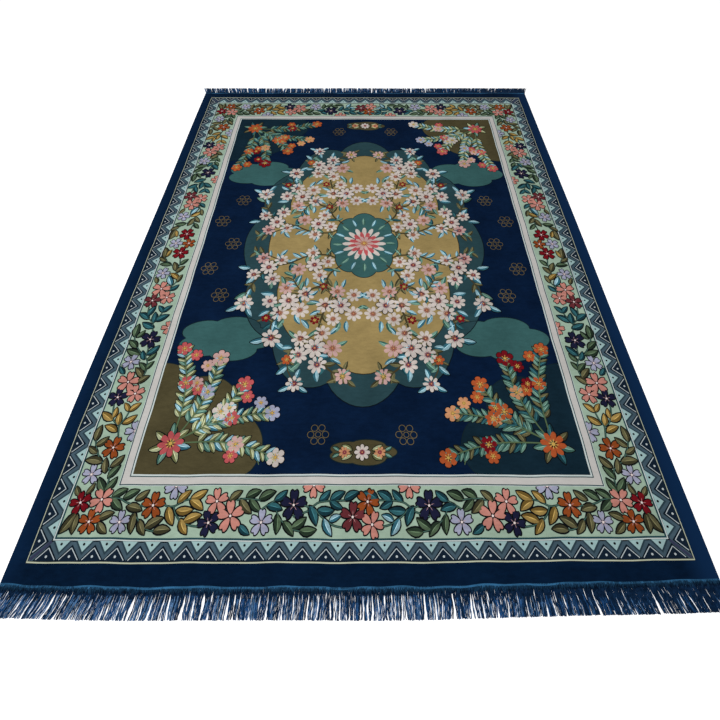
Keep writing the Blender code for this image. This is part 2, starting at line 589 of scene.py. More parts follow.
def pile_material(name, colour, contrast, relief, side_sheen_colour=None):
    """Short cut silk pile: rows of small knots, their colour darker and lighter at random, finely and in
    broad streaks.
    """
    material, tree, shader, place = new_material(name)
    rows = add_node(tree, "ShaderNodeMapping", {"Scale": (1.0, 2.6, 1.0)})
    tree.links.new(place, rows.inputs["Vector"])
    knots = noise(tree, rows.outputs["Vector"], 420.0, 2.0, 0.6)
    leans = noise(tree, rows.outputs["Vector"], 34.0, 4.0, 0.62)
    streaks = noise(tree, place, 7.0, 3.0, 0.55)
    fine = blend_values(tree, knots, leans, 0.45)
    value = blend_values(tree, fine, streaks, 0.35)
    stops = ((0.38, shade(colour, 1.0 - contrast)), (0.5, colour),
             (0.62, shade(colour, 1.0 + contrast * 1.1)))
    dye = ramp(tree, value, stops)
    # Paint the sheen of the long sides over the dye
    if side_sheen_colour is not None:
        dye = painted_side_sheen(tree, place, dye, side_sheen_colour)
    tree.links.new(dye, shader.inputs["Base Color"])
    add_bump(tree, shader, fine, relief, 0.0008)
    set_sockets(shader, {"Roughness": 0.72, "Specular IOR Level": 0.01, "Sheen Weight": 0.02,
                         "Sheen Roughness": 0.4, "Sheen Tint": sheen_tint(colour)})
    return material


def back_material(name, colour):
    """The underside: flat rows of knots over the cotton foundation."""
    material, tree, shader, place = new_material(name)
    rows = add_node(tree, "ShaderNodeTexWave", {"Scale": 160.0, "Distortion": 1.2},
                    wave_type="BANDS", bands_direction="Y")
    tree.links.new(place, rows.inputs["Vector"])
    knots = noise(tree, place, 300.0, 2.0, 0.5)
    value = blend_values(tree, rows.outputs["Fac"], knots, 0.5)
    stops = ((0.25, shade(colour, 0.7)), (0.6, colour), (0.9, shade(colour, 1.5)))
    tree.links.new(ramp(tree, value, stops), shader.inputs["Base Color"])
    add_bump(tree, shader, value, 0.5, 0.0006)
    set_sockets(shader, {"Roughness": 0.85, "Specular IOR Level": 0.1})
    return material


def yarn_material(name, colour):
    """Twisted silk yarn: fine plies across the yarn and slow changes of dye along it."""
    material, tree, shader, place = new_material(name)
    plies = noise(tree, place, 900.0, 2.0, 0.5)
    dye = noise(tree, place, 60.0, 3.0, 0.6)
    value = blend_values(tree, plies, dye, 0.55)
    stops = ((0.36, shade(colour, 0.5)), (0.5, colour), (0.66, shade(colour, 1.9)))
    tree.links.new(ramp(tree, value, stops), shader.inputs["Base Color"])
    add_bump(tree, shader, plies, 0.4, 0.0004)
    set_sockets(shader, {"Roughness": 0.55, "Specular IOR Level": 0.03, "Sheen Weight": 0.03,
                         "Sheen Tint": sheen_tint(colour)})
    return material


def petal_materials(names):
    """One pile for each named petal colour."""
    return [pile_material("silk " + name, linear(*PETAL_COLOURS[name]), 0.26, 0.5) for name in names]


def leaf_materials(names):
    """Two piles for each named leaf colour, its shaded and its lit half, and one for the vein."""
    made = []
    for name in names:
        dark, light = LEAF_COLOURS[name]
        made.append(pile_material("silk " + name + " shaded", linear(*dark), 0.42, 0.6))
        made.append(pile_material("silk " + name + " lit", shade(linear(*light), 1.2), 0.42, 0.6))
        made.append(pile_material("silk " + name + " vein", shade(linear(*light), 2.6), 0.2, 0.3))
    return made


# The blossom border, drawn for the near left quarter in metres from the rug's middle

# Petal and leaf colours, in the order of their materials
BORDER_PETALS = ("coral", "crimson", "rust", "lilac", "indigo", "plum")
BORDER_LEAVES = ("olive", "gold", "green", "teal", "sky")
BLOSSOM_PETALS = 5

# A common blossom radius and leaf length, by which a line's width becomes a share of the form
COMMON_RADIUS = 0.045
COMMON_LEAF = 0.048
LEAF_BENDS = (0.05, -0.05)

# Petal colour, x, y, radius, direction of the first petal in degrees
NEAR_BLOSSOMS = (
    ("crimson", -1.042, -1.282, 0.040, 108.0),
    ("coral", -0.967, -1.272, 0.045, 55.0),
    ("rust", -0.987, -1.342, 0.041, 90.0),
    ("lilac", -0.876, -1.344, 0.038, 92.0),
    ("rust", -0.771, -1.291, 0.045, 90.0),
    ("coral", -0.538, -1.279, 0.044, 98.0),
    ("indigo", -0.555, -1.345, 0.042, 112.0),
    ("coral", -0.480, -1.324, 0.052, 98.0),
    ("lilac", -0.365, -1.342, 0.043, 90.0),
    ("indigo", -0.251, -1.291, 0.051, 90.0),
)
NEAR_MIDDLE_BLOSSOMS = (
    ("plum", -0.032, -1.326, 0.049, 86.0),
    ("rust", 0.024, -1.280, 0.045, 70.0),
    ("coral", 0.039, -1.349, 0.044, 70.0),
)
LEFT_BLOSSOMS = (
    ("lilac", -1.040, -1.186, 0.038, 20.0),
    ("rust", -0.990, -1.086, 0.045, 5.0),
    ("indigo", -1.045, -0.879, 0.042, 20.0),
    ("coral", -0.976, -0.861, 0.042, 30.0),
    ("coral", -1.024, -0.809, 0.050, 15.0),
    ("lilac", -1.042, -0.713, 0.040, 0.0),
    ("indigo", -0.992, -0.598, 0.048, 5.0),
    ("plum", -1.047, -0.381, 0.043, 15.0),
    ("coral", -0.981, -0.361, 0.041, 30.0),
    ("coral", -1.025, -0.309, 0.048, 10.0),
    ("lilac", -1.045, -0.208, 0.038, 0.0),
    ("crimson", -0.991, -0.069, 0.044, 10.0),
)
LEFT_MIDDLE_BLOSSOMS = (
    ("lilac", -1.035, 0.000, 0.038, 0.0),
    ("rust", -0.964, 0.000, 0.036, 36.0),
)
# Half blossoms that the inner edge of the border cuts through
NEAR_HALVES = (
    ("lilac", -0.703, 0.045),
    ("coral", -0.180, 0.043),
)
LEFT_HALVES = (
    ("lilac", -1.021, 0.043),
    ("coral", -0.533, 0.038),
)

# Leaf colour, base x, base y, tip x, tip y
NEAR_LEAVES = (
    ("olive", -1.055, -1.259, -1.079, -1.227),
    ("olive", -1.031, -1.255, -1.014, -1.218),
    ("green", -0.968, -1.244, -1.006, -1.198),
    ("green", -0.968, -1.244, -0.938, -1.197),
    ("olive", -1.047, -1.315, -1.080, -1.376),
    ("olive", -1.039, -1.319, -1.035, -1.378),
    ("olive", -0.957, -1.334, -0.907, -1.315),
    ("olive", -0.953, -1.344, -0.913, -1.377),
    ("green", -0.932, -1.266, -0.884, -1.240),
    ("green", -0.930, -1.269, -0.883, -1.306),
    ("green", -0.888, -1.272, -0.838, -1.243),
    ("olive", -0.842, -1.274, -0.800, -1.243),
    ("olive", -0.867, -1.296, -0.809, -1.306),
    ("olive", -0.831, -1.314, -0.825, -1.375),
    ("olive", -0.779, -1.361, -0.723, -1.329),
    ("olive", -0.807, -1.336, -0.775, -1.379),
    ("olive", -0.745, -1.369, -0.687, -1.364),
    ("gold", -0.714, -1.295, -0.683, -1.350),
    ("gold", -0.682, -1.283, -0.642, -1.244),
    ("gold", -0.636, -1.270, -0.582, -1.245),
    ("gold", -0.638, -1.275, -0.586, -1.306),
    ("gold", -0.682, -1.307, -0.622, -1.305),
    ("gold", -0.647, -1.342, -0.586, -1.322),
    ("gold", -0.659, -1.333, -0.625, -1.378),
    ("olive", -0.490, -1.278, -0.449, -1.246),
    ("olive", -0.452, -1.273, -0.407, -1.315),
    ("green", -0.430, -1.267, -0.379, -1.244),
    ("green", -0.416, -1.271, -0.373, -1.309),
    ("green", -0.380, -1.272, -0.323, -1.248),
    ("teal", -0.322, -1.277, -0.279, -1.246),
    ("teal", -0.350, -1.292, -0.294, -1.305),
    ("teal", -0.443, -1.351, -0.402, -1.377),
    ("green", -0.310, -1.320, -0.305, -1.376),
    ("green", -0.253, -1.361, -0.203, -1.330),
    ("green", -0.285, -1.342, -0.245, -1.381),
    ("green", -0.223, -1.368, -0.164, -1.365),
    ("teal", -0.192, -1.294, -0.165, -1.351),
    ("teal", -0.154, -1.278, -0.117, -1.245),
    ("teal", -0.114, -1.278, -0.063, -1.248),
    ("teal", -0.116, -1.278, -0.070, -1.300),
    ("teal", -0.062, -1.273, -0.010, -1.249),
    ("teal", -0.162, -1.308, -0.102, -1.306),
    ("sky", -0.117, -1.339, -0.076, -1.321),
    ("sky", -0.138, -1.332, -0.108, -1.380),
)
LEFT_LEAVES = (
    ("green", -0.973, -1.198, -0.940, -1.154),
    ("olive", -0.975, -1.159, -0.936, -1.117),
    ("olive", -0.990, -1.180, -1.004, -1.126),
    ("olive", -1.016, -1.139, -1.082, -1.133),
    ("olive", -1.046, -1.106, -1.088, -1.082),
    ("olive", -1.062, -1.080, -1.022, -1.045),
    ("olive", -1.071, -1.059, -1.066, -0.999),
    ("gold", -0.998, -1.022, -1.052, -0.999),
    ("gold", -1.000, -0.996, -1.011, -0.945),
    ("gold", -0.985, -0.990, -0.939, -0.956),
    ("gold", -1.031, -0.976, -1.084, -0.943),
    ("gold", -1.033, -0.966, -1.033, -0.922),
    ("gold", -0.976, -0.938, -0.939, -0.903),
    ("gold", -0.981, -0.937, -1.006, -0.903),
    ("olive", -0.983, -0.813, -0.939, -0.778),
    ("olive", -0.968, -0.786, -1.010, -0.741),
    ("teal", -1.053, -0.771, -1.080, -0.737),
    ("green", -0.962, -0.753, -1.001, -0.717),
    ("green", -0.962, -0.746, -0.940, -0.709),
    ("green", -0.972, -0.704, -0.942, -0.667),
    ("teal", -0.987, -0.700, -1.008, -0.657),
    ("teal", -0.983, -0.676, -0.940, -0.630),
    ("green", -1.014, -0.673, -1.080, -0.651),
    ("green", -1.040, -0.642, -1.087, -0.604),
    ("green", -1.069, -0.584, -1.070, -0.517),
    ("green", -1.058, -0.589, -1.030, -0.551),
    ("teal", -0.996, -0.534, -1.055, -0.508),
    ("teal", -1.005, -0.507, -1.010, -0.449),
    ("teal", -0.993, -0.498, -0.941, -0.462),
    ("teal", -1.033, -0.487, -1.085, -0.453),
    ("teal", -1.041, -0.468, -1.020, -0.416),
    ("teal", -0.974, -0.447, -1.005, -0.411),
    ("teal", -0.974, -0.446, -0.942, -0.409),
    ("teal", -0.979, -0.317, -0.943, -0.283),
    ("sky", -0.980, -0.282, -1.009, -0.226),
    ("olive", -1.058, -0.272, -1.077, -0.234),
    ("olive", -0.958, -0.264, -0.941, -0.218),
    ("gold", -0.957, -0.244, -1.003, -0.209),
    ("olive", -0.977, -0.203, -0.944, -0.161),
    ("olive", -0.983, -0.190, -1.005, -0.135),
    ("green", -0.968, -0.151, -0.938, -0.113),
    ("green", -1.018, -0.151, -1.076, -0.146),
    ("olive", -1.051, -0.125, -1.092, -0.098),
    ("olive", -1.066, -0.103, -1.078, -0.033),
    ("gold", -1.058, -0.095, -1.043, -0.049),
)

# Stems of the near left quarter, each a run of points
NEAR_STEMS = (
    ((-0.935, -1.267), (-0.900, -1.271), (-0.872, -1.283), (-0.835, -1.291), (-0.800, -1.293)),
    ((-0.835, -1.316), (-0.811, -1.336), (-0.789, -1.355), (-0.763, -1.366), (-0.739, -1.369)),
    ((-0.742, -1.284), (-0.715, -1.294), (-0.690, -1.292), (-0.664, -1.277), (-0.634, -1.271)),
    ((-0.694, -1.296), (-0.682, -1.316), (-0.657, -1.339), (-0.623, -1.352), (-0.591, -1.357)),
    ((-0.466, -1.276), (-0.440, -1.271), (-0.410, -1.271), (-0.376, -1.274)),
    ((-0.378, -1.312), (-0.360, -1.297), (-0.338, -1.285), (-0.318, -1.275)),
    ((-0.316, -1.305), (-0.300, -1.331), (-0.275, -1.351), (-0.247, -1.364), (-0.219, -1.369)),
    ((-0.214, -1.291), (-0.186, -1.298), (-0.158, -1.283), (-0.116, -1.277), (-0.060, -1.275)),
    ((-0.170, -1.304), (-0.156, -1.319), (-0.132, -1.335), (-0.103, -1.350), (-0.071, -1.356)),
    ((-0.252, -1.326), (-0.222, -1.318), (-0.196, -1.309)),
)
LEFT_STEMS = (
    ((-0.966, -1.236), (-0.968, -1.202), (-0.976, -1.172), (-0.996, -1.152), (-1.018, -1.139)),
    ((-1.018, -1.142), (-1.036, -1.120), (-1.052, -1.096), (-1.066, -1.070), (-1.070, -1.056)),
    ((-0.984, -1.048), (-0.992, -1.020), (-0.996, -0.996), (-0.983, -0.968), (-0.977, -0.940)),
    ((-1.000, -0.998), (-1.022, -0.982), (-1.036, -0.964), (-1.046, -0.932), (-1.050, -0.910)),
    ((-0.973, -0.816), (-0.973, -0.792), (-0.962, -0.760), (-0.964, -0.732), (-0.972, -0.702)),
    ((-0.974, -0.702), (-0.986, -0.686), (-0.986, -0.660), (-0.988, -0.636)),
    ((-1.012, -0.673), (-1.032, -0.648), (-1.054, -0.622), (-1.066, -0.594), (-1.068, -0.582)),
    ((-0.995, -0.556), (-0.999, -0.532), (-1.005, -0.510), (-0.992, -0.482), (-0.976, -0.448)),
    ((-1.007, -0.508), (-1.027, -0.490), (-1.042, -0.470), (-1.050, -0.436), (-1.052, -0.416)),
    ((-0.977, -0.327), (-0.980, -0.297), (-0.964, -0.267), (-0.962, -0.237), (-0.975, -0.203)),
    ((-0.975, -0.203), (-0.981, -0.181), (-0.973, -0.153), (-0.980, -0.113)),
    ((-0.991, -0.167), (-1.017, -0.153), (-1.045, -0.129), (-1.064, -0.103), (-1.068, -0.089)),
)


def quarters(points):
    """Mirror (x, y) points of the near left quarter into all four quarters."""
    for flip_x, flip_y in QUARTERS:
        yield [(x * flip_x, y * flip_y) for x, y in points], flip_x * flip_y < 0.0


def direction(start, end):
    """Angle and distance from one point to another."""
    run_x, run_y = end[0] - start[0], end[1] - start[1]
    return math.atan2(run_y, run_x), math.hypot(run_x, run_y)


def away(x, y, angle, reach):
    """The point at some distance from another, at an angle."""
    return x + reach * math.cos(angle), y + reach * math.sin(angle)


class Blossoms:
    """The forms of the border blossom: petal and outline, heart and ray."""

    def __init__(self, outline_width):
        body = Disc(16, (0.2, 0.3))
        along, across = (1.0, 1.0, 0.80, 0.46), (1.0, 1.0, 0.78, 0.42)
        heights = (SUNK, MOTIF_RIM, MOTIF_RIM + 0.7 * (MOTIF_CROWN - MOTIF_RIM), MOTIF_CROWN)
        self.petal = petal_form(body, 0.56, 0.44, 0.255, 0.36, 0.20, heights, along, across)
        grow = outline_width / COMMON_RADIUS
        self.shadow = petal_form(Disc(16), 0.56, 0.44 + grow, 0.255 + grow, 0.30, 0.17,
                                 OUTLINE_HEIGHTS, UPRIGHT, UPRIGHT)
        self.heart = dot_form(Disc(10, (0.4,)), HEART_HEIGHTS)
        self.ray = leaf_form(Disc(6), 0.5, 0.0, 0.0, RAY_HEIGHTS, UPRIGHT, UPRIGHT, False)

    def lay_down(self, petals, shadows, hearts, colour, x, y, radius, turn, limit=None, keep=None):
        """Lay one blossom: its petals over their dark outline, and its heart with a ray to each."""
        for step in range(BLOSSOM_PETALS):
            angle = turn + step * math.tau / BLOSSOM_PETALS
            if keep is not None and not keep(angle):
                continue
            petals.place(self.petal, x, y, angle, radius, colour=colour, limit=limit)
            shadows.place(self.shadow, x, y, angle, radius, limit=limit)
            hearts.place(self.ray, *away(x, y, angle, 0.10 * radius), angle, 0.30 * radius, 0.0016,
                         colour=1, limit=limit)
        hearts.place(self.heart, x, y, 0.0, 0.0042, limit=limit)
        shadows.place(self.heart, x, y, 0.0, 0.20 * radius, lift=-0.0018, limit=limit)


class Leaves:
    """The forms of a pointed leaf and its outline, bent to either side."""

    def __init__(self, outline_width, half_width, sides=14):
        body, plain = Disc(sides, (0.3, 0.4)), Disc(sides)
        heights = (SUNK, MOTIF_RIM - 0.0001, MOTIF_CROWN - 0.0004, MOTIF_CROWN)
        along, across = (1.0, 1.0, 0.86, 0.66), (1.0, 1.0, 0.58, 0.095)
        grow = outline_width / COMMON_LEAF
        self.leaf = [leaf_form(body, half_width, bend, 0.0, heights, along, across, True)
                     for bend in LEAF_BENDS]
        self.shadow = [leaf_form(plain, half_width, bend, grow, OUTLINE_HEIGHTS, UPRIGHT, UPRIGHT, False)
                       for bend in LEAF_BENDS]

    def lay_down(self, leaves, shadows, colour, base, tip, bend):
        """Lay one leaf from its base to its tip over its dark outline."""
        turn, size = direction(base, tip)
        leaves.place(self.leaf[bend], *base, turn, size, colour=3 * colour)
        shadows.place(self.shadow[bend], *base, turn, size)


# The sawtooth band: the first tooth's distance from the corner, the teeth of a short and of a long
# side, and how far the teeth of a short side crowd toward its ends

SAW_FIRST = 0.058
SAW_NEAR_COUNT = 28
SAW_LEFT_COUNT = 35
SAW_SWELL = 0.005


def sides_of_band():
    """Each side's tooth count, its map from (run, depth) to (x, y), its turn, length and swell."""
    x0, y0 = HALF_X - SAW_OUTER, HALF_Y - SAW_OUTER
    yield SAW_NEAR_COUNT, lambda s, t: (-x0 + s, -y0 + t), 0.0, 2.0 * x0, SAW_SWELL
    yield SAW_NEAR_COUNT, lambda s, t: (x0 - s, y0 - t), math.pi, 2.0 * x0, SAW_SWELL
    yield SAW_LEFT_COUNT, lambda s, t: (-x0 + t, y0 - s), -math.pi / 2.0, 2.0 * y0, 0.0
    yield SAW_LEFT_COUNT, lambda s, t: (x0 - t, -y0 + s), math.pi / 2.0, 2.0 * y0, 0.0


def smooth_route(points, steps=4):
    """A smooth run of points through a few given ones."""
    points = np.asarray(points, dtype=float)
    padded = np.vstack([2 * points[0] - points[1], points, 2 * points[-1] - points[-2]])
    out = []
    for n in range(1, len(padded) - 2):
        a, b, c, d = padded[n - 1:n + 3]
        for k in range(steps):
            t = k / steps
            out.append(0.5 * (2 * b + (c - a) * t + (2 * a - 5 * b + 4 * c - d) * t * t
                              + (3 * b - a - 3 * c + d) * t ** 3))
    out.append(points[-1])
    return np.array(out)


def lobed(rx, ry, lobes, depth):
    """Points of a lobed oval outline, its lobes round and the notches between them sharp."""
    angles = np.linspace(0.0, math.tau, lobes * LOBE_POINTS, endpoint=False)
    swell = 1.0 - depth * (1.0 - np.abs(np.cos(lobes * angles / 2.0)) ** 0.8)
    return np.column_stack([rx * swell * np.cos(angles), ry * swell * np.sin(angles)])


def ground_patch(gather, outline, centre, face, colour):
    """Lay a flat patch inside an outline, with rings of points so that it follows the cloth."""
    count = len(outline)
    last = len(PATCH_RINGS) - 1
    heights = (SUNK,) + (face,) * last
    points = np.concatenate([
        np.column_stack([np.asarray(centre) + outline * share, np.full(count, height)])
        for share, height in zip(PATCH_RINGS, heights)])
    faces = [tuple(reversed(range(count)))]
    for k in range(last):
        low, high = k * count, (k + 1) * count
        for n in range(count):
            after = (n + 1) % count
            faces.append((low + n, low + after, high + after, high + n))
    faces.append(tuple(last * count + n for n in range(count)))
    gather.add(points, faces, [colour] * len(faces))


# The operators, one for each piece or group of like pieces

class RUG_OT_ground(bpy.types.Operator):
    """Knotted ground of the rug with its rounded rim and its flat back"""

    bl_idname = "rug.ground"
    bl_label = "Rug ground"

    def execute(self, context):
        navy = context.scene.rug_colours.navy
        deselect()
        bpy.ops.mesh.primitive_cube_add(size=1.0, location=(0.0, 0.0, THICKNESS / 2.0),
                                        scale=(WIDTH, LENGTH, THICKNESS))
        ground = bpy.context.object
        ground.name = ground.data.name = "rug_ground"
        choose(ground)
        bpy.ops.object.transform_apply(location=True, rotation=True, scale=True)
        for axis, cuts in enumerate(GROUND_CUTS):
            self.cut(ground, axis, cuts)
        self.round_rim(ground)
        write_points(ground.data, lay(read_points(ground.data)))
        under = np.array([int(f.normal.z < -0.9) for f in ground.data.polygons], dtype=np.int32)
        # The navy pile, with a painted sheen in a lighter blue along its long sides
        wear(ground, [pile_material("navy pile", navy, 0.34, 0.6, side_sheen_colour=linear(15, 42, 76)),
                      back_material("rug back", shade(navy, 2.4))])
        ground.data.polygons.foreach_set("material_index", under)
        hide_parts("rug")
        return {"FINISHED"}

    def cut(self, ground, axis, cuts):
        """Cut the edges that run along one axis into equal lengths."""
        def runs_along(a, b):
            run = b - a
            return abs(run[axis]) > 0.999 * run.length
        select_edges(ground, runs_along)
        bpy.ops.mesh.subdivide(number_cuts=cuts, quadcorner="INNERVERT")
        deselect()

    def round_rim(self, ground):
        """Round the upper edge, where the cut pile turns down to the floor."""
        def on_rim(*ends):
            top = all(p.z > THICKNESS - 1e-5 for p in ends)
            on_x = all(abs(abs(p.x) - HALF_X) < 1e-4 for p in ends)
            on_y = all(abs(abs(p.y) - HALF_Y) < 1e-4 for p in ends)
            return top and (on_x or on_y)
        select_edges(ground, on_rim)
        bpy.ops.mesh.bevel(offset=RIM_RADIUS, offset_type="OFFSET", segments=RIM_SEGMENTS,
                           profile=0.5, affect="EDGES")
        deselect()


class RUG_OT_bands(bpy.types.Operator):
    """Sawtooth band, blossom border, guard band and field grounds, and the thin lines between them"""

    bl_idname = "rug.bands"
    bl_label = "Bands and lines"

    def execute(self, context):
        colours = context.scene.rug_colours
        grounds = Gather()
        grounds.ring(SAW_OUTER - UNDERLAP, SAW_INNER + 2.0 * UNDERLAP, BAND_FACE, 0)
        grounds.ring(BORDER_OUTER - UNDERLAP, BORDER_INNER + UNDERLAP, BAND_FACE, 1)
        grounds.ring(GUARD_OUTER - UNDERLAP, GUARD_INNER + UNDERLAP, BAND_FACE + 0.0002, 2)
        grounds.finish("band_grounds", [
            pile_material("slate pile", colours.slate, 0.2, 0.5),
            pile_material("mint pile", colours.mint, 0.16, 0.45),
            pile_material("guard pile", colours.guard, 0.09, 0.45),
        ])
        lines = Gather()
        lines.ring(YELLOW_LINE - 0.0022, YELLOW_LINE + 0.0020, LINE_FACE, 0, slim=0.0008)
        lines.ring(YELLOW_LINE + 0.0020, SAW_OUTER + 0.0008, LINE_FACE - 0.0003, 3)
        lines.ring(SAW_INNER - 0.0030, PALE_LINE, LINE_FACE - 0.0003, 3)
        lines.ring(PALE_LINE, DARK_LINE, LINE_FACE, 1)
        lines.ring(DARK_LINE, BORDER_OUTER + 0.0020, LINE_FACE, 2)
        lines.ring(BORDER_INNER, GUARD_LINE, LINE_FACE - 0.0002, 1)
        lines.ring(GUARD_LINE, GUARD_OUTER, LINE_FACE, 2)
        lines.ring(GUARD_INNER, FIELD_LINE, LINE_FACE, 2)
        lines.ring(FIELD_LINE, FIELD_EDGE, LINE_FACE - 0.0002, 1)
        lines.finish("edge_lines", [
            pile_material("straw pile", colours.straw, 0.16, 0.4),
            pile_material("pearl pile", colours.pearl, 0.12, 0.4),
            pile_material("petrol pile", colours.petrol, 0.2, 0.4),
            pile_material("dark line pile", colours.outline, 0.2, 0.4),
        ])
        self.field(colours)
        return {"FINISHED"}

    def field(self, colours):
        """The field's ground, a thin sheet of its own pile."""
        deselect()
        bpy.ops.mesh.primitive_plane_add(size=1.0, location=(0.0, 0.0, 0.0))
        field = bpy.context.object
        field.name = field.data.name = "field_ground"
        edit(field)
        bpy.ops.mesh.select_all(action="SELECT")
        bpy.ops.mesh.subdivide(number_cuts=FIELD_CUTS)
        deselect()
        points = read_points(field.data)
        points[:, 0] *= 2.0 * (HALF_X - FIELD_EDGE + UNDERLAP)
        points[:, 1] *= 2.0 * (HALF_Y - FIELD_EDGE + UNDERLAP)
        points[:, 2] = THICKNESS + BAND_FACE - 0.0001
        write_points(field.data, lay(wander(points)))
        apply_modifier(field, "SOLIDIFY", thickness=FIELD_THICKNESS, offset=-1.0)
        wear(field, [pile_material("field pile", colours.field, 0.32, 0.6)])


class RUG_OT_sawtooth(bpy.types.Operator):
    """Teeth of the sawtooth band with their chevrons and dots"""

    bl_idname = "rug.sawtooth"
    bl_label = "Sawtooth"

    def execute(self, context):
        colours = context.scene.rug_colours
        depth = SAW_INNER - SAW_OUTER
        triangle = Disc(3, (0.15, 0.25))
        heights = (SUNK, MOTIF_RIM - 0.0004, MOTIF_RIM, MOTIF_RIM + 0.0003)
        tooth = tooth_form(triangle, heights, (1.0, 1.0, 0.86, 0.5))
        under = tooth_form(Disc(3), (SUNK, OUTLINE_FACE - 0.0003), UPRIGHT)
        rim = tooth_form(Disc(3), OUTLINE_HEIGHTS, UPRIGHT)
        dot = dot_form(Disc(8, (0.4,)), (SUNK, MOTIF_RIM + 0.0004, MOTIF_RIM + 0.0008))
        teeth, trim = Gather(), Gather()
        for count, where, turn, length, swell in sides_of_band():
            pitch = (length - 2.0 * SAW_FIRST) / (count - 1)
            for n in range(count):
                run = SAW_FIRST + n * pitch
                run -= swell * math.sin(math.tau * run / length)
                x, y = where(run, 0.0)
                teeth.place(rim, x, y, turn, pitch * 0.535, depth * 0.80, colour=3)
                teeth.place(tooth, x, y, turn, pitch * 0.475, depth * 0.715, colour=0)
                half = 0.405 * pitch
                chevron = ((run - half, 0.0045), (run, depth * 0.645), (run + half, 0.0045))
                route = [where(s, t) for s, t in self.fill(chevron)]
                trim.stroke(route, 0.0026, MOTIF_RIM + 0.0005)
                x, y = where(run, depth * 0.23)
                trim.place(dot, x, y, turn, 0.0041, colour=0)
            for n in range(-1, count):
                run = SAW_FIRST + (n + 0.5) * pitch
                if not depth + 0.010 < run < length - depth - 0.010:
                    continue
                run -= swell * math.sin(math.tau * run / length)
                x, y = where(run, depth)
                teeth.place(under, x, y, turn + math.pi, pitch * 0.42, depth * 0.70, colour=2)
                teeth.place(tooth, x, y, turn + math.pi, pitch * 0.33, depth * 0.545, colour=1)
                x, y = where(run, depth * 0.83)
                trim.place(dot, x, y, turn, 0.0045, colour=1)
        self.corners(teeth, depth)
        teeth.finish("sawtooth_teeth", [
            pile_material("ink pile", colours.ink, 0.22, 0.5),
            pile_material("ice pile", colours.ice, 0.14, 0.5),
            pile_material("shadow slate pile", colours.shadow_slate, 0.2, 0.4),
            pile_material("tooth rim pile", shade(colours.ink, 0.6), 0.2, 0.4),
            pile_material("corner pile", linear(56, 60, 84), 0.2, 0.4),
        ])
        trim.finish("sawtooth_trim", [
            pile_material("chevron pile", colours.chalk, 0.14, 0.4),
            pile_material("dark dot pile", colours.outline, 0.2, 0.4),
        ])
        return {"FINISHED"}

    def corners(self, teeth, depth):
        """Fill each corner of the band with the slanting bar that the teeth leave there."""
        x0, y0 = HALF_X - SAW_OUTER, HALF_Y - SAW_OUTER
        for flip_x, flip_y in reversed(QUARTERS):
            bar = [(flip_x * (x0 - reach), flip_y * (y0 - reach))
                   for reach in (0.004, 0.5 * depth, 0.97 * depth)]
            teeth.stroke(bar, 0.009, OUTLINE_FACE, colour=4)

    def fill(self, corners):
        """Points along a bent line, close enough to keep its corner sharp."""
        out = []
        for (s0, t0), (s1, t1) in zip(corners, corners[1:]):
            for share in (0.0, 0.5, 0.94):
                out.append((s0 + (s1 - s0) * share, t0 + (t1 - t0) * share))
        out.append(corners[-1])
        return out


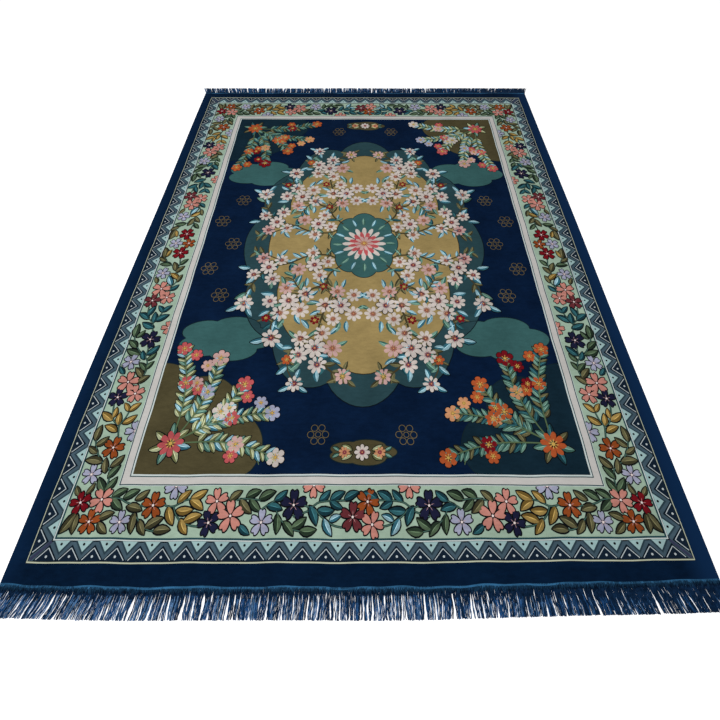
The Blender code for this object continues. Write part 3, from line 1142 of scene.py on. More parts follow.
class RUG_OT_border(bpy.types.Operator):
    """Blossoms, leaves and stems of the wide border"""

    bl_idname = "rug.border"
    bl_label = "Blossom border"

    def execute(self, context):
        colours = context.scene.rug_colours
        sizes = context.scene.rug_sizes
        petals, shadows, hearts, leaves, stems = (Gather() for _ in range(5))
        self.blossoms = Blossoms(sizes.outline)
        parts = (petals, shadows, hearts)
        for rows, flips in ((NEAR_BLOSSOMS + LEFT_BLOSSOMS, QUARTERS),
                            (NEAR_MIDDLE_BLOSSOMS, QUARTERS[:2]),
                            (LEFT_MIDDLE_BLOSSOMS, QUARTERS[::2])):
            for row in rows:
                self.lay_mirrored(parts, *row, flips)
        self.halves(parts)
        leaf = Leaves(sizes.outline, 0.215)
        for number, (name, bx, by, tx, ty) in enumerate(NEAR_LEAVES + LEFT_LEAVES):
            for (base, tip), turned in quarters(((bx, by), (tx, ty))):
                leaf.lay_down(leaves, shadows, BORDER_LEAVES.index(name), base, tip,
                              (number + int(turned)) % 2)
        for route in NEAR_STEMS + LEFT_STEMS:
            for points, _ in quarters(route):
                smooth = smooth_route(points)
                stems.stroke(smooth, 0.0074, BAND_FACE + 0.0003, colour=1, crown=0.0001)
                stems.stroke(smooth, 0.0040, BAND_FACE + 0.0006, colour=0)
        outline = pile_material("outline pile", colours.outline, 0.2, 0.4)
        shadows.finish("border_outlines", [outline])
        petals.finish("border_petals", petal_materials(BORDER_PETALS))
        hearts.finish("border_hearts", [
            pile_material("heart pile", linear(228, 214, 210), 0.08, 0.3),
            pile_material("ray pile", linear(190, 150, 150), 0.08, 0.3),
        ])
        leaves.finish("border_leaves", leaf_materials(BORDER_LEAVES))
        stems.finish("border_stems", [pile_material("stem pile", colours.stem, 0.2, 0.4), outline])
        return {"FINISHED"}

    def lay_mirrored(self, parts, name, x, y, radius, turn, flips):
        """Lay one blossom and its mirror images."""
        colour = BORDER_PETALS.index(name)
        for flip_x, flip_y in flips:
            angle = math.radians(turn)
            angle = math.pi - angle if flip_x < 0 else angle
            angle = -angle if flip_y < 0 else angle
            self.blossoms.lay_down(*parts, colour, x * flip_x, y * flip_y, radius, angle)

    def halves(self, parts):
        """Lay the half blossoms that grow out from under the guard band."""
        inner_x, inner_y = HALF_X - BORDER_INNER, HALF_Y - BORDER_INNER
        for name, x, radius in NEAR_HALVES:
            for flip_x, flip_y in QUARTERS:
                edge = -inner_y * flip_y
                turn = -math.pi / 2.0 * flip_y
                self.half(parts, name, x * flip_x, edge, radius, turn, (1, flip_y, edge))
        for name, y, radius in LEFT_HALVES:
            for flip_x, flip_y in QUARTERS:
                edge = -inner_x * flip_x
                turn = math.pi if flip_x > 0 else 0.0
                self.half(parts, name, edge, y * flip_y, radius, turn, (0, flip_x, edge))

    def half(self, parts, name, x, y, radius, turn, limit):
        """Lay the petals of a blossom that point outward, cut at the border's inner line."""
        def outward(angle):
            return math.cos(angle - turn) > -0.1
        self.blossoms.lay_down(*parts, BORDER_PETALS.index(name), x, y, radius, turn,
                               limit=limit, keep=outward)


# The field, drawn for its far right quarter and mirrored

# Lobed patches: half width, half length, lobes, depth of the notches
MEDALLION_SLATE = (0.655, 0.920, 12, 0.085)
MEDALLION_GOLD = (0.520, 0.770, 8, 0.100)
MEDALLION_HEART = (0.185, 0.235, 8, 0.10)
CLOUD = (0.235, 0.120, 5, 0.20)
CLOUD_PLACE = (0.640, 0.590)
PENDANT = (0.140, 0.052, 5, 0.16)
PENDANT_Y = 1.105
SPANDREL_REACH = (0.500, 0.470)
SPANDREL_LOBES = 5
SPANDREL_MIDDLE = (0.16, 0.16)
PATCH_LINE = 0.0036
LAYER_STEP = 0.0003
FIELD_HALF_X = HALF_X - FIELD_EDGE
FIELD_HALF_Y = HALF_Y - FIELD_EDGE

# Petal and leaf colours, in the order of their materials, and the leaf colours along a branch
FIELD_PETALS = ("cream", "blush", "peach", "orange", "crimson", "rose", "lilac")
FIELD_LEAVES = ("sky", "sage", "olive", "cane", "teal")
BRANCH_LEAVES = ("olive", "sage", "teal", "olive", "sky")

# Corner sprays: each stem's lean in degrees and its reach, their start's inset from the corner, and
# the flowers and leaves of the pale and of the warm corners
SPRAYS = ((-7.0, 0.43), (18.0, 0.41), (45.0, 0.36), (72.0, 0.40), (97.0, 0.43))
SPRAY_INSET = 0.115
PALE_SPRAY = (("rose", "cream", "lilac", "rose", "blush"), ("cane", "sage", "cane", "sky"))
WARM_SPRAY = (("orange", "orange", "peach", "orange", "crimson"), ("sage", "teal", "olive", "sage"))

# Posies: x, y, flower radius, flowers round the middle one
POSIES = (
    (0.262, 0.150, 0.047, 4),
    (0.112, 0.405, 0.050, 5),
    (0.372, 0.378, 0.051, 5),
    (0.222, 0.640, 0.052, 5),
    (0.500, 0.165, 0.047, 4),
)
# Lone flowers: colour, x, y, radius, petals
LONE_FLOWERS = (
    ("cream", 0.592, 0.395, 0.048, 8),
    ("cream", 0.430, 0.590, 0.050, 8),
    ("blush", 0.090, 0.780, 0.040, 8),
    ("cream", 0.300, 0.815, 0.038, 8),
    ("crimson", 0.205, 0.290, 0.026, 6),
    ("crimson", 0.235, 0.490, 0.025, 6),
    ("orange", 0.345, 0.700, 0.026, 6),
    ("crimson", 0.470, 0.480, 0.024, 6),
)
# Branches of the medallion, each a run of points
BRANCHES = (
    ((0.120, 0.150), (0.180, 0.215), (0.190, 0.290), (0.150, 0.350), (0.105, 0.385)),
    ((0.150, 0.100), (0.205, 0.080), (0.300, 0.090), (0.400, 0.140), (0.500, 0.165)),
    ((0.185, 0.270), (0.250, 0.300), (0.315, 0.345), (0.372, 0.372)),
    ((0.150, 0.350), (0.190, 0.430), (0.215, 0.540), (0.222, 0.640)),
    ((0.372, 0.372), (0.415, 0.430), (0.440, 0.510), (0.430, 0.590)),
    ((0.222, 0.640), (0.190, 0.710), (0.140, 0.760), (0.090, 0.780)),
    ((0.215, 0.560), (0.300, 0.630), (0.340, 0.730), (0.300, 0.815)),
    ((0.400, 0.140), (0.480, 0.100), (0.540, 0.070), (0.590, 0.060)),
    ((0.500, 0.165), (0.555, 0.250), (0.590, 0.330), (0.592, 0.395)),
    ((0.300, 0.340), (0.330, 0.300), (0.350, 0.270), (0.365, 0.245)),
)


class FieldFlowers:
    """The round many-petalled flowers of the field, in two petal widths."""

    def __init__(self, outline_width):
        body, plain = Disc(10, (0.35,)), Disc(10)
        raised = ((SUNK, MOTIF_RIM, MOTIF_CROWN), (1.0, 1.0, 0.62), (1.0, 1.0, 0.56))
        flat = (OUTLINE_HEIGHTS, UPRIGHT, UPRIGHT)
        grow = outline_width * 0.75 / COMMON_RADIUS
        self.round = petal_form(body, 0.60, 0.40, 0.225, 0.32, 0.0, *raised)
        self.round_shadow = petal_form(plain, 0.60, 0.40 + grow, 0.225 + grow, 0.30, 0.0, *flat)
        self.wide = petal_form(body, 0.57, 0.43, 0.31, 0.34, 0.05, *raised)
        self.wide_shadow = petal_form(plain, 0.57, 0.43 + grow, 0.31 + grow, 0.32, 0.04, *flat)
        self.heart = dot_form(Disc(8, (0.4,)), HEART_HEIGHTS)
        self.ray = leaf_form(Disc(6), 0.5, 0.0, 0.0, RAY_HEIGHTS, UPRIGHT, UPRIGHT, False)

    def lay_down(self, petals, shadows, hearts, colour, x, y, radius, turn, count, heart, lift):
        """Lay one flower of several petals over their outline, with its rays and heart."""
        if count <= 6:
            petal, shadow, width = self.wide, self.wide_shadow, radius
        else:
            petal, shadow, width = self.round, self.round_shadow, radius * 8.0 / max(count, 8)
        for step in range(count):
            angle = turn + step * math.tau / count
            petals.place(petal, x, y, angle, radius, width, colour=colour, lift=lift)
            shadows.place(shadow, x, y, angle, radius, width, lift=lift)
            hearts.place(self.ray, *away(x, y, angle, 0.14 * radius), angle, 0.28 * radius, 0.0040,
                         colour=heart, lift=lift)
        shadows.place(self.heart, x, y, 0.0, 0.26 * radius, lift=lift - 0.0018)
        hearts.place(self.heart, x, y, 0.0, 0.15 * radius, colour=heart, lift=lift)
        hearts.place(self.heart, x, y, 0.0, 0.08 * radius, colour=0, lift=lift + 0.0004)


class RUG_OT_medallion(bpy.types.Operator):
    """Lobed medallion grounds, clouds and corner patches of the field with their edge lines"""

    bl_idname = "rug.medallion"
    bl_label = "Medallion grounds"

    def execute(self, context):
        grounds, edges = Gather(), Gather()
        first = BAND_FACE + LAYER_STEP
        for flip_x, flip_y in reversed(QUARTERS):
            self.spandrel(grounds, edges, flip_x, flip_y, first, 3 if flip_x == flip_y else 4)
            place = (CLOUD_PLACE[0] * flip_x, CLOUD_PLACE[1] * flip_y)
            self.patch(grounds, edges, CLOUD, place, first + LAYER_STEP, 1, 1)
        self.patch(grounds, edges, MEDALLION_SLATE, (0.0, 0.0), first + 2 * LAYER_STEP, 0, 0)
        self.patch(grounds, edges, MEDALLION_GOLD, (0.0, 0.0), first + 3 * LAYER_STEP, 2, 2)
        self.patch(grounds, edges, MEDALLION_HEART, (0.0, 0.0), first + 4 * LAYER_STEP, 1, 1)
        for y in (-PENDANT_Y, PENDANT_Y):
            self.patch(grounds, edges, PENDANT, (0.0, y), first, 3, 1)
        grounds.finish("medallion_grounds", [
            pile_material("slate teal pile", linear(40, 66, 72), 0.2, 0.5),
            pile_material("teal pile", linear(54, 92, 92), 0.2, 0.5),
            pile_material("ochre pile", linear(150, 130, 84), 0.2, 0.5),
            pile_material("olive pile", linear(74, 68, 46), 0.25, 0.5),
            pile_material("deep slate pile", linear(18, 38, 50), 0.25, 0.5),
        ])
        edges.finish("medallion_lines", [
            pile_material("medallion line pile", linear(14, 22, 28), 0.2, 0.4),
            pile_material("cloud line pile", linear(20, 36, 42), 0.2, 0.4),
            pile_material("ochre line pile", linear(52, 44, 28), 0.2, 0.4),
        ])
        return {"FINISHED"}

    def patch(self, grounds, edges, spec, centre, face, colour, line):
        """Lay one lobed patch and the thin line round it."""
        outline = lobed(*spec)
        ground_patch(grounds, outline, centre, face, colour)
        edges.stroke(outline + np.asarray(centre), PATCH_LINE, face + 0.0004, closed=True, colour=line)

    def spandrel(self, grounds, edges, flip_x, flip_y, face, colour):
        """Lay one corner patch of the field, its inner edge lobed."""
        turns = np.linspace(0.0, math.pi / 2.0, 61)
        swell = 1.0 - 0.13 * (1.0 - np.abs(np.sin(turns * SPANDREL_LOBES)) ** 0.7)
        reach_x, reach_y = SPANDREL_REACH
        arc = np.column_stack([reach_x * swell * np.cos(turns), reach_y * swell * np.sin(turns)])
        start = np.column_stack([np.linspace(0.0, arc[0, 0], 12)[:-1], np.zeros(11)])
        end = np.column_stack([np.zeros(11), np.linspace(arc[-1, 1], 0.0, 12)[1:]])[:-1]
        loop = np.vstack([start, arc, end])
        centre = np.array(SPANDREL_MIDDLE)
        sign = np.array([-flip_x, -flip_y])
        corner = np.array([flip_x * FIELD_HALF_X, flip_y * FIELD_HALF_Y])
        around = (loop - centre) * sign
        if flip_x * flip_y < 0:
            around = around[::-1]
        ground_patch(grounds, around, corner + centre * sign, face, colour)
        edges.stroke(corner + arc * sign, PATCH_LINE, face + 0.0004, colour=1)


class RUG_OT_field(bpy.types.Operator):
    """Flowers, leaves and branches of the field"""

    bl_idname = "rug.field"
    bl_label = "Field flowers"

    def execute(self, context):
        sizes = context.scene.rug_sizes
        colours = context.scene.rug_colours
        self.petals, self.shadows, self.hearts = Gather(), Gather(), Gather()
        self.leaves, self.stems = Gather(), Gather()
        self.flowers = FieldFlowers(sizes.outline)
        self.leaf = Leaves(sizes.outline * 0.8, 0.21, 10)
        self.flip = QUARTERS[0]
        self.middle()
        for flip in QUARTERS:
            self.flip = flip
            random.seed(19)
            self.branches()
            self.posies()
            self.spandrel_spray(*(PALE_SPRAY if flip[0] == flip[1] else WARM_SPRAY))
        self.flip = QUARTERS[0]
        self.pendants()
        outline = pile_material("field outline pile", colours.outline, 0.2, 0.4)
        self.shadows.finish("field_outlines", [outline])
        self.petals.finish("field_petals", petal_materials(FIELD_PETALS))
        self.hearts.finish("field_hearts", [
            pile_material("gold heart pile", linear(196, 160, 84), 0.1, 0.3),
            pile_material("rose heart pile", linear(150, 66, 80), 0.1, 0.3),
        ])
        self.leaves.finish("field_leaves", leaf_materials(FIELD_LEAVES))
        self.stems.finish("field_stems", [
            pile_material("branch pile", linear(66, 60, 40), 0.2, 0.4),
            pile_material("tendril pile", linear(84, 104, 74), 0.2, 0.4),
        ])
        return {"FINISHED"}

    def turned(self, angle):
        """An angle of the drawn quarter, mirrored into the present one."""
        return math.atan2(math.sin(angle) * self.flip[1], math.cos(angle) * self.flip[0])

    def flower(self, name, x, y, radius, count, turn=0.0, heart=1, lift=0.0):
        """Lay one field flower."""
        self.flowers.lay_down(self.petals, self.shadows, self.hearts, FIELD_PETALS.index(name),
                              x * self.flip[0], y * self.flip[1], radius, self.turned(turn), count,
                              heart, lift)

    def leaf_at(self, name, x, y, angle, size, number):
        """Lay one field leaf that starts at a point and heads off at an angle."""
        tip_x, tip_y = away(x, y, angle, size)
        if abs(tip_x) > FIELD_HALF_X - 0.012 or abs(tip_y) > FIELD_HALF_Y - 0.012:
            return
        base = (x * self.flip[0], y * self.flip[1])
        tip = (tip_x * self.flip[0], tip_y * self.flip[1])
        bend = (number + int(self.flip[0] * self.flip[1] < 0)) % 2
        self.leaf.lay_down(self.leaves, self.shadows, FIELD_LEAVES.index(name), base, tip, bend)

    def stem(self, points, width, colour):
        """Lay one tapering stem through a few points."""
        route = smooth_route(np.asarray(points) * np.asarray(self.flip))
        self.stems.stroke(route, width, BAND_FACE + 0.0016, colour=colour, taper=True)
        return route * np.asarray(self.flip)

    def posy(self, x, y, radius, around):
        """Lay a posy: a flower in the middle, others close round it, and pale blue leaves behind."""
        turn = random.uniform(0.0, math.tau)
        for n in range(around + 3):
            angle = turn + (n + random.uniform(0.2, 0.8)) * math.tau / (around + 3)
            reach = radius * random.uniform(1.7, 2.1)
            self.leaf_at("sky" if n % 3 else "sage", *away(x, y, angle, reach),
                         angle + random.uniform(-0.4, 0.4), radius * random.uniform(1.15, 1.45), n)
        for n in range(around):
            angle = turn + (n + random.uniform(-0.12, 0.12)) * math.tau / around
            reach = radius * random.uniform(1.55, 1.85)
            self.flower("blush" if n == around // 2 else "cream", *away(x, y, angle, reach),
                        radius * random.uniform(0.80, 0.95), 8, random.uniform(0.0, 0.8))
        self.flower("cream", x, y, radius, 8, turn, lift=0.0006)

    def middle(self):
        """The great flower of the medallion: three rows of petals on a ring of leaves."""
        for n in range(16):
            angle = n * math.tau / 16.0
            self.leaf_at("sky" if n % 2 else "sage", 0.112 * math.cos(angle), 0.135 * math.sin(angle),
                         angle, 0.066, n)
        self.flower("cream", 0.0, 0.0, 0.128, 16, 0.0)
        self.flower("rose", 0.0, 0.0, 0.088, 12, 0.2, lift=0.0006)
        self.flower("blush", 0.0, 0.0, 0.056, 10, 0.0, heart=0, lift=0.0012)

    def branches(self):
        """Curved branches of the medallion with paired leaves along them."""
        for number, points in enumerate(BRANCHES):
            route = self.stem(points, 0.0100 if number < 6 else 0.0065, 0)
            for n in range(2, len(route) - 1, 3):
                ahead = direction(route[n - 1], route[n + 1])[0]
                side = 1 if (n // 3) % 2 else -1
                name = BRANCH_LEAVES[(number + n) % 5]
                self.leaf_at(name, *route[n], ahead + side * random.uniform(0.6, 1.0),
                             random.uniform(0.050, 0.068), n)
                name = BRANCH_LEAVES[(number + n + 2) % 5]
                self.leaf_at(name, *route[n], ahead - side * random.uniform(0.7, 1.2),
                             random.uniform(0.040, 0.055), n + 1)

    def posies(self):
        """Posies and lone flowers of the medallion."""
        for x, y, radius, around in POSIES:
            self.posy(x, y, radius, around)
        for name, x, y, radius, count in LONE_FLOWERS:
            leaf, heart = ("sky", 1) if name == "cream" else ("olive", 0)
            for n in range(3):
                angle = random.uniform(0.0, 0.6) + n * math.tau / 3.0
                self.leaf_at(leaf, *away(x, y, angle, 0.6 * radius), angle, radius * 1.35, n)
            self.flower(name, x, y, radius, count, random.uniform(0.0, 1.0), heart=heart)

    def spandrel_spray(self, names, leaves):
        """A leafy spray that fans out from one corner of the field."""
        corner = np.array([FIELD_HALF_X - SPRAY_INSET, FIELD_HALF_Y - SPRAY_INSET])
        shares = np.linspace(0.0, 1.0, 6)
        for number, (lean, reach) in enumerate(SPRAYS):
            lean = math.radians(lean)
            bows = (0.030 if number < 2 else -0.030) * np.sin(math.pi * shares)
            u = reach * shares * math.cos(lean) - bows * math.sin(lean)
            v = reach * shares * math.sin(lean) + bows * math.cos(lean)
            route = self.stem(corner - np.column_stack([u, v]), 0.0060, 1)
            self.dress(route, number, names, leaves)
        for n in range(7):
            angle = 0.3 + n * math.tau / 7.0
            self.leaf_at(leaves[n % 4], *away(*corner, angle, 0.022), angle, 0.062, n)
        self.flower(names[0], *corner, 0.052, 8, 0.2, heart=0, lift=0.0006)

    def dress(self, route, number, names, leaves):
        """Set leaves, side twigs and flowers along one stem of a spray."""
        count = len(route)
        for n in range(5, count - 1):
            ahead = direction(route[n - 1], route[n + 1])[0]
            size = 0.054 - 0.010 * n / count
            for side in (-1, 1):
                name = leaves[(n + number + side) % 4]
                self.leaf_at(name, *route[n], ahead + side * random.uniform(0.65, 1.05),
                             size * random.uniform(0.85, 1.1), n + side)
        for n in (count // 2, count * 4 // 5):
            ahead = direction(route[n - 1], route[n + 1])[0]
            side = 1 if (n + number) % 2 else -1
            angle = ahead + side * 0.9
            step = np.array([math.cos(angle), math.sin(angle)])
            twig = [route[n], route[n] + 0.035 * step, route[n] + 0.060 * step]
            self.stem(twig, 0.0045, 1)
            if self.inside(twig[-1]):
                self.flower(names[(n + number) % 5], *twig[-1], 0.030, 6, angle, heart=0)
        for n in (count * 3 // 5, count - 1):
            if self.inside(route[n]):
                self.flower(names[(n // 3 + number) % 5], *route[n], random.uniform(0.034, 0.042), 6,
                            random.uniform(0.0, 1.0), heart=0, lift=0.0004)

    def inside(self, point):
        """Whether a flower set here stays on the field."""
        return point[0] < FIELD_HALF_X - 0.048 and point[1] < FIELD_HALF_Y - 0.048

    def pendants(self):
        """A spray of three flowers on each pendant at the ends of the field."""
        for flip in (-1, 1):
            y = PENDANT_Y * flip
            for n in (-1, 1):
                for side in (-1, 1):
                    angle = math.atan2(0.5 * side, n)
                    self.leaf_at("cane", 0.040 * n, y + 0.008 * side, angle, 0.045, n)
                    self.leaf_at("sage", 0.090 * n, y + 0.006 * side, angle, 0.032, n)
            for n in (-1, 0, 1):
                name = ("peach", "cream", "peach")[n + 1]
                self.flower(name, 0.070 * n, y, 0.024 + 0.008 * (n == 0), 8, 0.3 * n)


ROSETTE_STEP = (0.180, 0.190)
ROSETTE_REACH = 0.030
ROSETTE_LINE = 0.0022


def in_oval(x, y, reach_x, reach_y):
    """Whether a point lies inside an oval round the origin."""
    return (x / reach_x) ** 2 + (y / reach_y) ** 2 < 1.0


def rosette_places():
    """Places of a staggered lattice that lie on the open navy ground."""
    step_x, step_y = ROSETTE_STEP
    for row in range(-6, 7):
        for column in range(-5, 6):
            x = (column + 0.5 * (row % 2)) * step_x
            y = row * step_y / 1.1
            across, along = abs(x), abs(y)
            taken = (
                across > FIELD_HALF_X - 0.055 or along > FIELD_HALF_Y - 0.050
                or in_oval(across, along, 0.715, 0.985)
                or in_oval(FIELD_HALF_X - across, FIELD_HALF_Y - along, 0.565, 0.535)
                or in_oval(across - CLOUD_PLACE[0], along - CLOUD_PLACE[1], 0.275, 0.155)
                or in_oval(across, along - PENDANT_Y, 0.20, 0.10))
            if not taken:
                yield x, y


class RUG_OT_rosettes(bpy.types.Operator):
    """Faint gold rosettes on the navy field"""

    bl_idname = "rug.rosettes"
    bl_label = "Rosettes"

    def execute(self, context):
        rosettes = Gather()
        angles = np.linspace(0.0, math.tau, 12, endpoint=False)
        circle = np.column_stack([np.cos(angles), np.sin(angles)])
        for x, y in rosette_places():
            loops = [(away(x, y, n * math.tau / 6.0, ROSETTE_REACH), 0.0135) for n in range(6)]
            loops.append(((x, y), 0.011))
            for centre, radius in loops:
                rosettes.stroke(np.array(centre) + radius * circle, ROSETTE_LINE, BAND_FACE + 0.0004,
                                closed=True, crown=0.0002)
        rosettes.finish("rosettes", [pile_material("rosette pile", linear(112, 98, 60), 0.25, 0.4)])
        return {"FINISHED"}


# Fringes and pile ends

# How far the tips fan out to the sides, and the slow sway of their lean along the end
FAN = 0.030
WANDER = 0.004
WANDER_COUNT = 3.2
MOST_LEAN = 0.036

# A yarn's rings of points and its sides, and the bare margin at both ends of the row
YARN_RINGS = 10
YARN_SIDES = 4
YARN_MARGIN = 0.004

# Clumps: how many and how wide, how far tight and loose ones draw together, and the share of free yarns
CLUMPS = 160
CLUMP_WIDTHS = (0.009, 0.034)
TIGHT_PULL = (0.16, 0.40)
LOOSE_PULL = (0.0, 0.10)
FREE_YARNS = 0.30

# Rows of pile tufts: blades, root inset, root height, share of the full reach, tip height, width,
# colour choices: the low outer rows mostly a painted shade, the upper rows a painted highlight
TUFT_ROWS = (
    (780, 0.0015, 0.0060, 1.00, 0.0012, 0.0016, (0, 0, 0, 1)),
    (780, 0.0022, 0.0085, 0.86, 0.0028, 0.0016, (0, 0, 1)),
    (760, 0.0030, 0.0105, 0.62, 0.0062, 0.0015, (1, 1, 2)),
    (740, 0.0040, 0.0122, 0.36, 0.0102, 0.0014, (2, 3, 2)),
)
TUFT_MARGIN = 0.003


def end_y(x, side):
    """Where the rug's end lies at x."""
    spot = lay(np.column_stack([x, np.full(len(x), side * HALF_Y), np.zeros(len(x))]))
    return spot[:, 1]


class RUG_OT_fringes(bpy.types.Operator):
    """Twisted yarn fringe of both short ends"""

    bl_idname = "rug.fringes"
    bl_label = "Fringes"

    def execute(self, context):
        sizes = context.scene.rug_sizes
        colour = context.scene.rug_colours.fringe
        # The yarn dye, a darker copy of it as painted shade and a paler blue as painted highlight
        materials = [yarn_material("fringe yarn", colour),
                     yarn_material("fringe yarn shaded", shade(colour, 0.3)),
                     yarn_material("fringe yarn lit", linear(80, 116, 156))]
        for name, node, side in (("fringe_yarns_front", "fringe_front", -1.0),
                                 ("fringe_yarns_back", "fringe_back", 1.0)):
            piece = self.make(name, side, sizes, materials)
            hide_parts(node)
        return {"FINISHED"}

    def roots(self, rng, yarns):
        """Where the yarns start: evenly spaced, with a quarter more of them in the right part."""
        edge = HALF_X - YARN_MARGIN
        root = np.linspace(-edge, edge, yarns)
        root = np.sort(np.concatenate([root, rng.uniform(0.42 * HALF_X, edge, yarns // 4)]))
        root = root + rng.normal(0.0, 0.0005, len(root))
        return np.clip(root, -HALF_X + 0.003, HALF_X - 0.003)

    def clumps(self, rng, root):
        """Each yarn's clump, the clump's middle, the pull toward it and whether the yarn is free."""
        breaks = np.cumsum(rng.uniform(*CLUMP_WIDTHS, CLUMPS)) - HALF_X
        clump = np.searchsorted(breaks, root)
        total = clump.max() + 1
        middles = [root[clump == n].mean() if (clump == n).any() else 0.0 for n in range(total)]
        tight = rng.random(total) < 0.50 - 0.30 * np.clip(breaks[:total] / HALF_X, 0.0, 1.0)
        pull = np.where(tight, rng.uniform(*TIGHT_PULL, total), rng.uniform(*LOOSE_PULL, total))[clump]
        free = rng.random(len(root)) < FREE_YARNS
        pull = np.where(free, 0.0, pull) * (1.0 - 0.5 * np.clip(root / HALF_X, 0.0, 1.0))
        return clump, np.array(middles)[clump], pull, free

    def leans(self, rng, across, clump, free):
        """How far each yarn's tip lies to the right of its root."""
        count, total = len(across), clump.max() + 1
        lean = FAN * across * np.abs(across) + WANDER * np.sin(math.pi * WANDER_COUNT * across + 0.5)
        still = 1.0 - 0.6 * np.clip(across, 0.0, 1.0)
        lean = lean + rng.normal(0.0, 0.0030, total)[clump] * still
        lean = lean + np.where(free, rng.normal(0.0, 0.0060, count), 0.0)
        lean = lean + rng.normal(0.0, 0.0014, count)
        return np.clip(lean, -MOST_LEAN, MOST_LEAN)

    def make(self, name, side, sizes, materials):
        """One end's yarns: thin tubes that draw into clumps, from under the pile to the floor."""
        rng = np.random.default_rng(11 if side < 0 else 12)
        root = self.roots(rng, sizes.yarns)
        count, across = len(root), root / HALF_X
        clump, centre, pull, free = self.clumps(rng, root)
        total = clump.max() + 1
        lean = self.leans(rng, across, clump, free)
        length = sizes.fringe + rng.normal(0.0, 0.0008, count)
        length = length - np.abs(rng.normal(0.0, 0.0006, total))[clump]
        sway = rng.uniform(0.0006, 0.0024, total)[clump]
        phase = rng.uniform(0.0, math.tau, total)[clump] + rng.normal(0.0, 0.5, count)
        start = end_y(root, side)
        root, centre, pull, lean, length, sway, phase, start = (
            part[:, None] for part in (root, centre, pull, lean, length, sway, phase, start))

        share = np.linspace(0.0, 1.0, YARN_RINGS)[None, :]
        close = np.clip(share / 0.45, 0.0, 1.0)
        close = close * close * (3.0 - 2.0 * close)
        x = root + (centre - root) * pull * close + lean * share ** 1.25
        x = x + sway * np.sin(7.5 * share + phase) * np.sqrt(share)
        x = x + 0.0009 * np.sin(24.0 * share + 3.0 * phase) * share
        y = start + side * (0.0005 + (length - 0.0005) * share)
        girth = sizes.yarn if side < 0 else 1.3 * sizes.yarn
        radius = girth * (1.0 - 0.18 * share ** 4) * rng.uniform(0.82, 1.12, count)[:, None]
        layer = rng.choice(3, count)[:, None] * 0.0008
        arch = 0.0008 * (1.0 + np.sin(8.0 * share + 2.0 * phase)) * (share < 0.95)
        z = radius * 1.03 + (layer + arch) * np.sin(np.clip(share * 1.15, 0.0, 1.0) * math.pi * 0.5)
        z = z + 0.0040 * np.clip(1.0 - share / 0.30, 0.0, 1.0) ** 2
        turn = phase + 6.0 * share

        # Each yarn's colour: its dye, the painted shade or the painted highlight; the painted shade takes
        # more yarns on the right and at the far end
        tone = rng.choice(3, count, p=(0.46, 0.32, 0.22) if side < 0 else (0.42, 0.52, 0.06))
        tone = np.where(rng.random(count) < 0.95 * np.clip(across, 0.0, 1.0) ** 1.4, 1, tone)
        # The rings nearest the root take the painted shade of the pile above them
        shaded = 2 + rng.choice(3, count) + np.round(2.4 * np.clip(across, 0.0, 1.0)).astype(int)
        corners = np.arange(YARN_SIDES) * math.tau / YARN_SIDES
        faces = tube_faces(YARN_RINGS, YARN_SIDES, side > 0)
        gather = Gather()
        for k in range(count):
            around = turn[k][:, None] + corners[None, :]
            px = x[k][:, None] + radius[k][:, None] * np.cos(around)
            pz = z[k][:, None] + radius[k][:, None] * np.sin(around)
            py = np.repeat(y[k][:, None], YARN_SIDES, axis=1)
            points = np.stack([px, py, pz], axis=-1).reshape(-1, 3)
            dark = int(shaded[k]) * YARN_SIDES
            gather.add(points, faces, [1] * dark + [int(tone[k])] * (len(faces) - dark))
        return gather.finish(name, materials, "fringe", on_cloth=False)


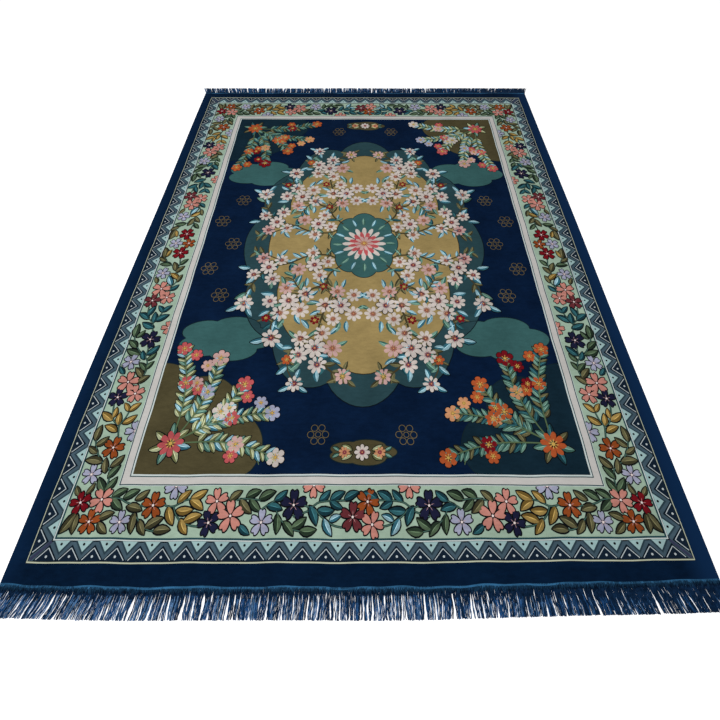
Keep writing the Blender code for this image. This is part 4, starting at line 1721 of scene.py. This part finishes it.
class RUG_OT_pile_ends(bpy.types.Operator):
    """Pile tufts that lean out over each end, darker low down as painted shade and lighter high up as
    painted highlight, with the ridge where the pile turns over in a painted highlight
    """

    bl_idname = "rug.pile_ends"
    bl_label = "Pile ends"

    def execute(self, context):
        sizes = context.scene.rug_sizes
        colours = context.scene.rug_colours
        navy, crest_highlight = colours.navy, colours.crest_highlight
        # A blue between the navy and the painted highlight, for the tufts' painted highlights
        middle = tuple(0.35 * c + 0.65 * n for c, n in zip(crest_highlight, navy))
        # The tufts' colours: a darker navy as painted shade, and lit, bright and highlight blues as painted
        # highlight
        materials = [yarn_material("end tuft", shade(navy, 0.8)),
                     yarn_material("end tuft lit", shade(middle, 0.7)),
                     yarn_material("end tuft bright", middle),
                     yarn_material("end crest", crest_highlight)]
        for name, side in (("pile_end_front", -1.0), ("pile_end_back", 1.0)):
            self.make(name, side, sizes.tuft, materials)
        self.ridges(crest_highlight)
        return {"FINISHED"}

    def ridges(self, crest_highlight):
        """The soft ridge along each end, in the painted highlight colour."""
        ridge = Gather()
        x = np.linspace(-HALF_X + 0.004, HALF_X - 0.004, 420)
        for side in (-1.0, 1.0):
            sway = 0.0013 * np.sin(19.0 * x + side) + 0.0010 * np.sin(47.0 * x + 1.0)
            route = np.column_stack([x, side * (HALF_Y - 0.0022) + sway])
            ridge.stroke(route[::-1] if side > 0 else route, 0.0050, 0.0004, crown=0.0008)
        # The ridge in the painted highlight colour
        ridge.finish("end_ridges", [pile_material("crest pile", crest_highlight, 0.5, 0.7)])

    def make(self, name, side, reach, materials):
        """One end's tufts: rows of short blades rooted in the rounded rim of the pile."""
        rng = np.random.default_rng(21 if side < 0 else 22)
        faces = tube_faces(3, 3, side > 0)
        edge = HALF_X - TUFT_MARGIN
        gather = Gather()
        for blades, inset, height, share, tip_height, width, tones in TUFT_ROWS:
            xs = np.linspace(-edge, edge, blades) + rng.normal(0.0, 0.0005, blades)
            for x, y in zip(xs, end_y(xs, side)):
                far = reach * share * rng.uniform(0.8, 1.1)
                tilt = rng.normal(0.0, 0.0013) + 0.25 * far * (x / HALF_X) * abs(x / HALF_X)
                root = np.array([x, y - side * inset, height + rng.normal(0.0, 0.0003)])
                tip = np.array([x + tilt, y + side * (far - inset),
                                tip_height + abs(rng.normal(0.0, 0.0006))])
                points = self.blade(root, tip, width * rng.uniform(0.8, 1.2), side)
                gather.add(points, faces, [int(rng.choice(tones))] * len(faces))
        gather.finish(name, materials, on_cloth=False)

    def blade(self, root, tip, width, side):
        """Points of one three-sided tapering tuft with a soft arch."""
        middle = (root + tip) / 2.0 + np.array([0.0, side * 0.0008, 0.0012])
        around = np.array([0.5, 0.5 + math.tau / 3, 0.5 + 2 * math.tau / 3])
        ring = np.column_stack([np.cos(around), np.zeros(3), np.sin(around)])
        return np.concatenate([root + ring * width, middle + ring * width * 0.95, tip + ring * width * 0.3])


# The studio, and the camera at the photo's viewing angle
SKY_STRENGTH = 0.60
FLOOR_GLOW = 0.42
LAMP_SIZE = 2.6
LAMP_POWER = 98.0
LAMP_PLACE = (-0.95, -0.85, 3.6)
CAMERA_LENS = 22.81
CAMERA_SHIFT = (-0.0119, -0.1389)
CAMERA_PLACE = (0.0213, -1.6619, 1.8945)
CAMERA_TURN = (39.4288, -0.1560, 0.0536)


class RUG_OT_stage(bpy.types.Operator):
    """Pale floor, soft studio light and the camera"""

    bl_idname = "rug.stage"
    bl_label = "Stage"

    def execute(self, context):
        scene = context.scene
        scene.view_settings.view_transform = "Standard"
        self.floor()
        self.lights(scene)
        self.camera(scene)
        return {"FINISHED"}

    def floor(self):
        """A wide pale floor."""
        deselect()
        bpy.ops.mesh.primitive_plane_add(size=60.0, location=(0.0, 0.0, -0.0002))
        floor = bpy.context.object
        floor.name = "studio_floor"
        material, tree, shader, place = new_material("studio floor")
        value = noise(tree, place, 3.0, 2.0, 0.5)
        stops = ((0.3, (0.90,) * 3), (0.7, (0.92,) * 3))
        tree.links.new(ramp(tree, value, stops), shader.inputs["Base Color"])
        set_sockets(shader, {"Roughness": 0.9, "Specular IOR Level": 0.05,
                             "Emission Color": (1.0,) * 4, "Emission Strength": FLOOR_GLOW})
        floor.data.materials.append(material)

    def lights(self, scene):
        """An even white sky and one large soft lamp from the upper left."""
        world = bpy.data.worlds.new("studio sky")
        world.use_nodes = True
        scene.world = world
        set_sockets(world.node_tree.nodes["Background"], {"Color": (1.0,) * 4, "Strength": SKY_STRENGTH})
        lamp = bpy.data.lights.new("soft lamp", "AREA")
        lamp.shape = "RECTANGLE"
        lamp.size = lamp.size_y = LAMP_SIZE
        lamp.energy = LAMP_POWER
        holder = bpy.data.objects.new("soft lamp", lamp)
        scene.collection.objects.link(holder)
        holder.location = LAMP_PLACE
        aim = -holder.location
        holder.rotation_euler = aim.to_track_quat("-Z", "Y").to_euler()

    def camera(self, scene):
        """A wide lens held above the near end, looking down the rug."""
        data = bpy.data.cameras.new("camera")
        data.sensor_width = 36.0
        data.lens = CAMERA_LENS
        data.shift_x, data.shift_y = CAMERA_SHIFT
        data.clip_start = 0.05
        data.clip_end = 100.0
        camera = bpy.data.objects.new("camera", data)
        scene.collection.objects.link(camera)
        camera.location = CAMERA_PLACE
        camera.rotation_euler = tuple(math.radians(angle) for angle in CAMERA_TURN)
        scene.camera = camera


# The operators in their order
STEPS = ("ground", "bands", "sawtooth", "border", "medallion", "field", "rosettes", "fringes", "pile_ends",
         "stage")


class RUG_PT_panel(bpy.types.Panel):
    """The rug's pieces and settings"""

    bl_label = "Silk rug"
    bl_idname = "RUG_PT_panel"
    bl_space_type = "VIEW_3D"
    bl_region_type = "UI"
    bl_category = "Rug"

    def draw(self, context):
        layout = self.layout
        for step in STEPS:
            layout.operator("rug." + step)
        for group in (context.scene.rug_sizes, context.scene.rug_colours):
            for name in group.__annotations__:
                layout.prop(group, name)


CLASSES = (RugSizes, RugColours, RUG_OT_ground, RUG_OT_bands, RUG_OT_sawtooth, RUG_OT_border,
           RUG_OT_medallion, RUG_OT_field, RUG_OT_rosettes, RUG_OT_fringes, RUG_OT_pile_ends, RUG_OT_stage,
           RUG_PT_panel)


def register():
    """Register the rug's settings, operators and panel."""
    for cls in CLASSES:
        bpy.utils.register_class(cls)
    bpy.types.Scene.rug_sizes = PointerProperty(type=RugSizes)
    bpy.types.Scene.rug_colours = PointerProperty(type=RugColours)


def unregister():
    """Take the rug's settings, operators and panel away again."""
    del bpy.types.Scene.rug_colours
    del bpy.types.Scene.rug_sizes
    for cls in reversed(CLASSES):
        bpy.utils.unregister_class(cls)


def main():
    """Build every piece in order."""
    register()
    for step in STEPS:
        getattr(bpy.ops.rug, step)()


if __name__ == "__main__":
    main()
